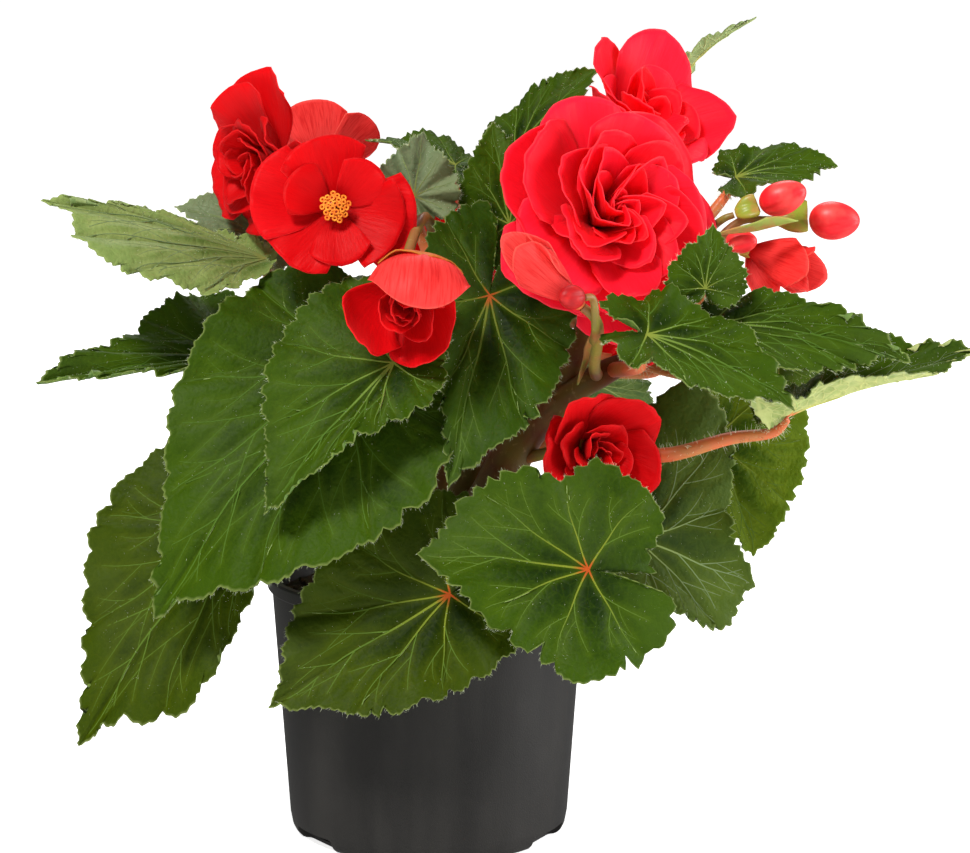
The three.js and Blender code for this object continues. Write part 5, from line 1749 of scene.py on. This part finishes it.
# Veins: their colour at the joint, a little way on and at the end.
VEINS = {
    "vein": ((0.18, 0.22, 0.03), (0.12, 0.19, 0.028), (0.06, 0.125, 0.012)),
    "vein_warm": ((0.36, 0.06, 0.008), (0.15, 0.185, 0.015), (0.075, 0.135, 0.014)),
    "vein_grey": ((0.2, 0.22, 0.05), (0.17, 0.23, 0.07), (0.14, 0.2, 0.08)),
    # A darker copy of the warm veins, for the shaded leaf: painted shade.
    "vein_shaded": ((0.26, 0.06, 0.008), (0.09, 0.12, 0.012), (0.06, 0.11, 0.012)),
    "rib": ((0.6, 0.16, 0.06), (0.42, 0.42, 0.12), (0.32, 0.42, 0.14)),
}

# What each kind of leaf has above, below and on its veins.
LEAF_FINISHES = {
    "mid": ("leaf_face", "leaf_back", "vein"),
    "warm": ("leaf_face", "leaf_back", "vein_warm"),
    "fresh": ("leaf_face_fresh", "leaf_back_fresh", "vein_warm"),
    "dull": ("leaf_face_dull", "leaf_back_dull", "vein_grey"),
    "grey": ("leaf_face_grey", "leaf_back_dull", "vein_grey"),
    "pale": ("leaf_face_pale", "leaf_back_pale", "vein_grey"),
    # The deep finish paints shade: darker copies of the face and veins.
    "deep": ("leaf_face_shaded", "leaf_back", "vein_shaded"),
    "olive": ("leaf_face_olive", "leaf_back_olive", "vein_warm"),
    "lime": ("leaf_face_lime", "leaf_back_pale", "vein_grey"),
    "silver": ("leaf_face", "leaf_back_silver", "vein_grey"),
}


def leaf_finishes(hair):
    made = {name: leaf_face_material(name, *colours) for name, colours in LEAF_FACES.items()}
    made.update((name, leaf_back_material(name, tint)) for name, tint in LEAF_BACKS.items())
    made.update((name, vein_material(name, *colours)) for name, colours in VEINS.items())
    finishes = {name: [made[skin] for skin in skins] for name, skins in LEAF_FINISHES.items()}
    return {**finishes, "rib": made["rib"], "hair": hair}


# Each petal finish gives its red, its darker foot colour of painted shade, the paler pink its tone runs
# to, and the colour of the painted highlight on its rim.
def flower_finishes():
    return {
        "crimson": petal_material(
            "petal_crimson", (0.7, 0.001, 0.003), (0.46, 0.0004, 0.002), (0.8, 0.004, 0.008),
            (1, 0.05, 0.05),
        ),
        "rose": petal_material(
            "petal_rose", (1, 0.003, 0.009), (0.78, 0.0005, 0.004), (1, 0.02, 0.06), (1, 0.14, 0.17),
        ),
        "coral": petal_material(
            "petal_coral", (0.86, 0.03, 0.03), (0.52, 0.003, 0.005), (0.92, 0.09, 0.08), (1, 0.3, 0.2),
            lines=0.65,
        ),
        "sepal": petal_material(
            "petal_sepal", (0.6, 0.13, 0.012), (0.2, 0.26, 0.03), (0.7, 0.1, 0.02), (0.6, 0.4, 0.08),
            through=0.25,
        ),
        "heart": waxy_material("bloom_heart", (0.5, 0.3, 0.05), (0.6, 0.12, 0.04)),
        "bud": waxy_material("bud_skin", (0.72, 0.015, 0.022), (0.8, 0.06, 0.052), 90.0, 0.38),
        "bud_deep": waxy_material("bud_deep_skin", (0.34, 0.003, 0.005), (0.5, 0.012, 0.012), 160.0, 0.5),
        "seed": waxy_material("seed_skin", (0.26, 0.32, 0.03), (0.38, 0.24, 0.05), 140.0),
        "bract": waxy_material("bract_skin", (0.3, 0.36, 0.07), (0.46, 0.24, 0.07), 160.0, 0.5),
        "filament": waxy_material("filament", (0.55, 0.05, 0.006), (0.66, 0.12, 0.008), 300.0),
        "anther": waxy_material("anther", (0.72, 0.15, 0.008), (0.8, 0.28, 0.02), 600.0, 0.6),
    }


def make_plant():
    hair = plain_material("hair", (0.5, 0.56, 0.36), 0.6)
    finishes = leaf_finishes(hair)
    for row in LEAVES:
        lay_out(row)
        leaf_piece(row, finishes)
    finishes = flower_finishes()
    for row in BLOOMS:
        bloom_piece(row, finishes)
    stamen_piece(finishes)
    for make, rows in ((bud_piece, BUDS), (seed_piece, SEED_CASES), (bract_piece, BRACTS)):
        for row in rows:
            make(row, finishes)
    stem_piece({"stem": stem_material(), "hair": hair})


set_stage()
make_plant()
pot_piece(pot_material())
soil_piece(soil_material())
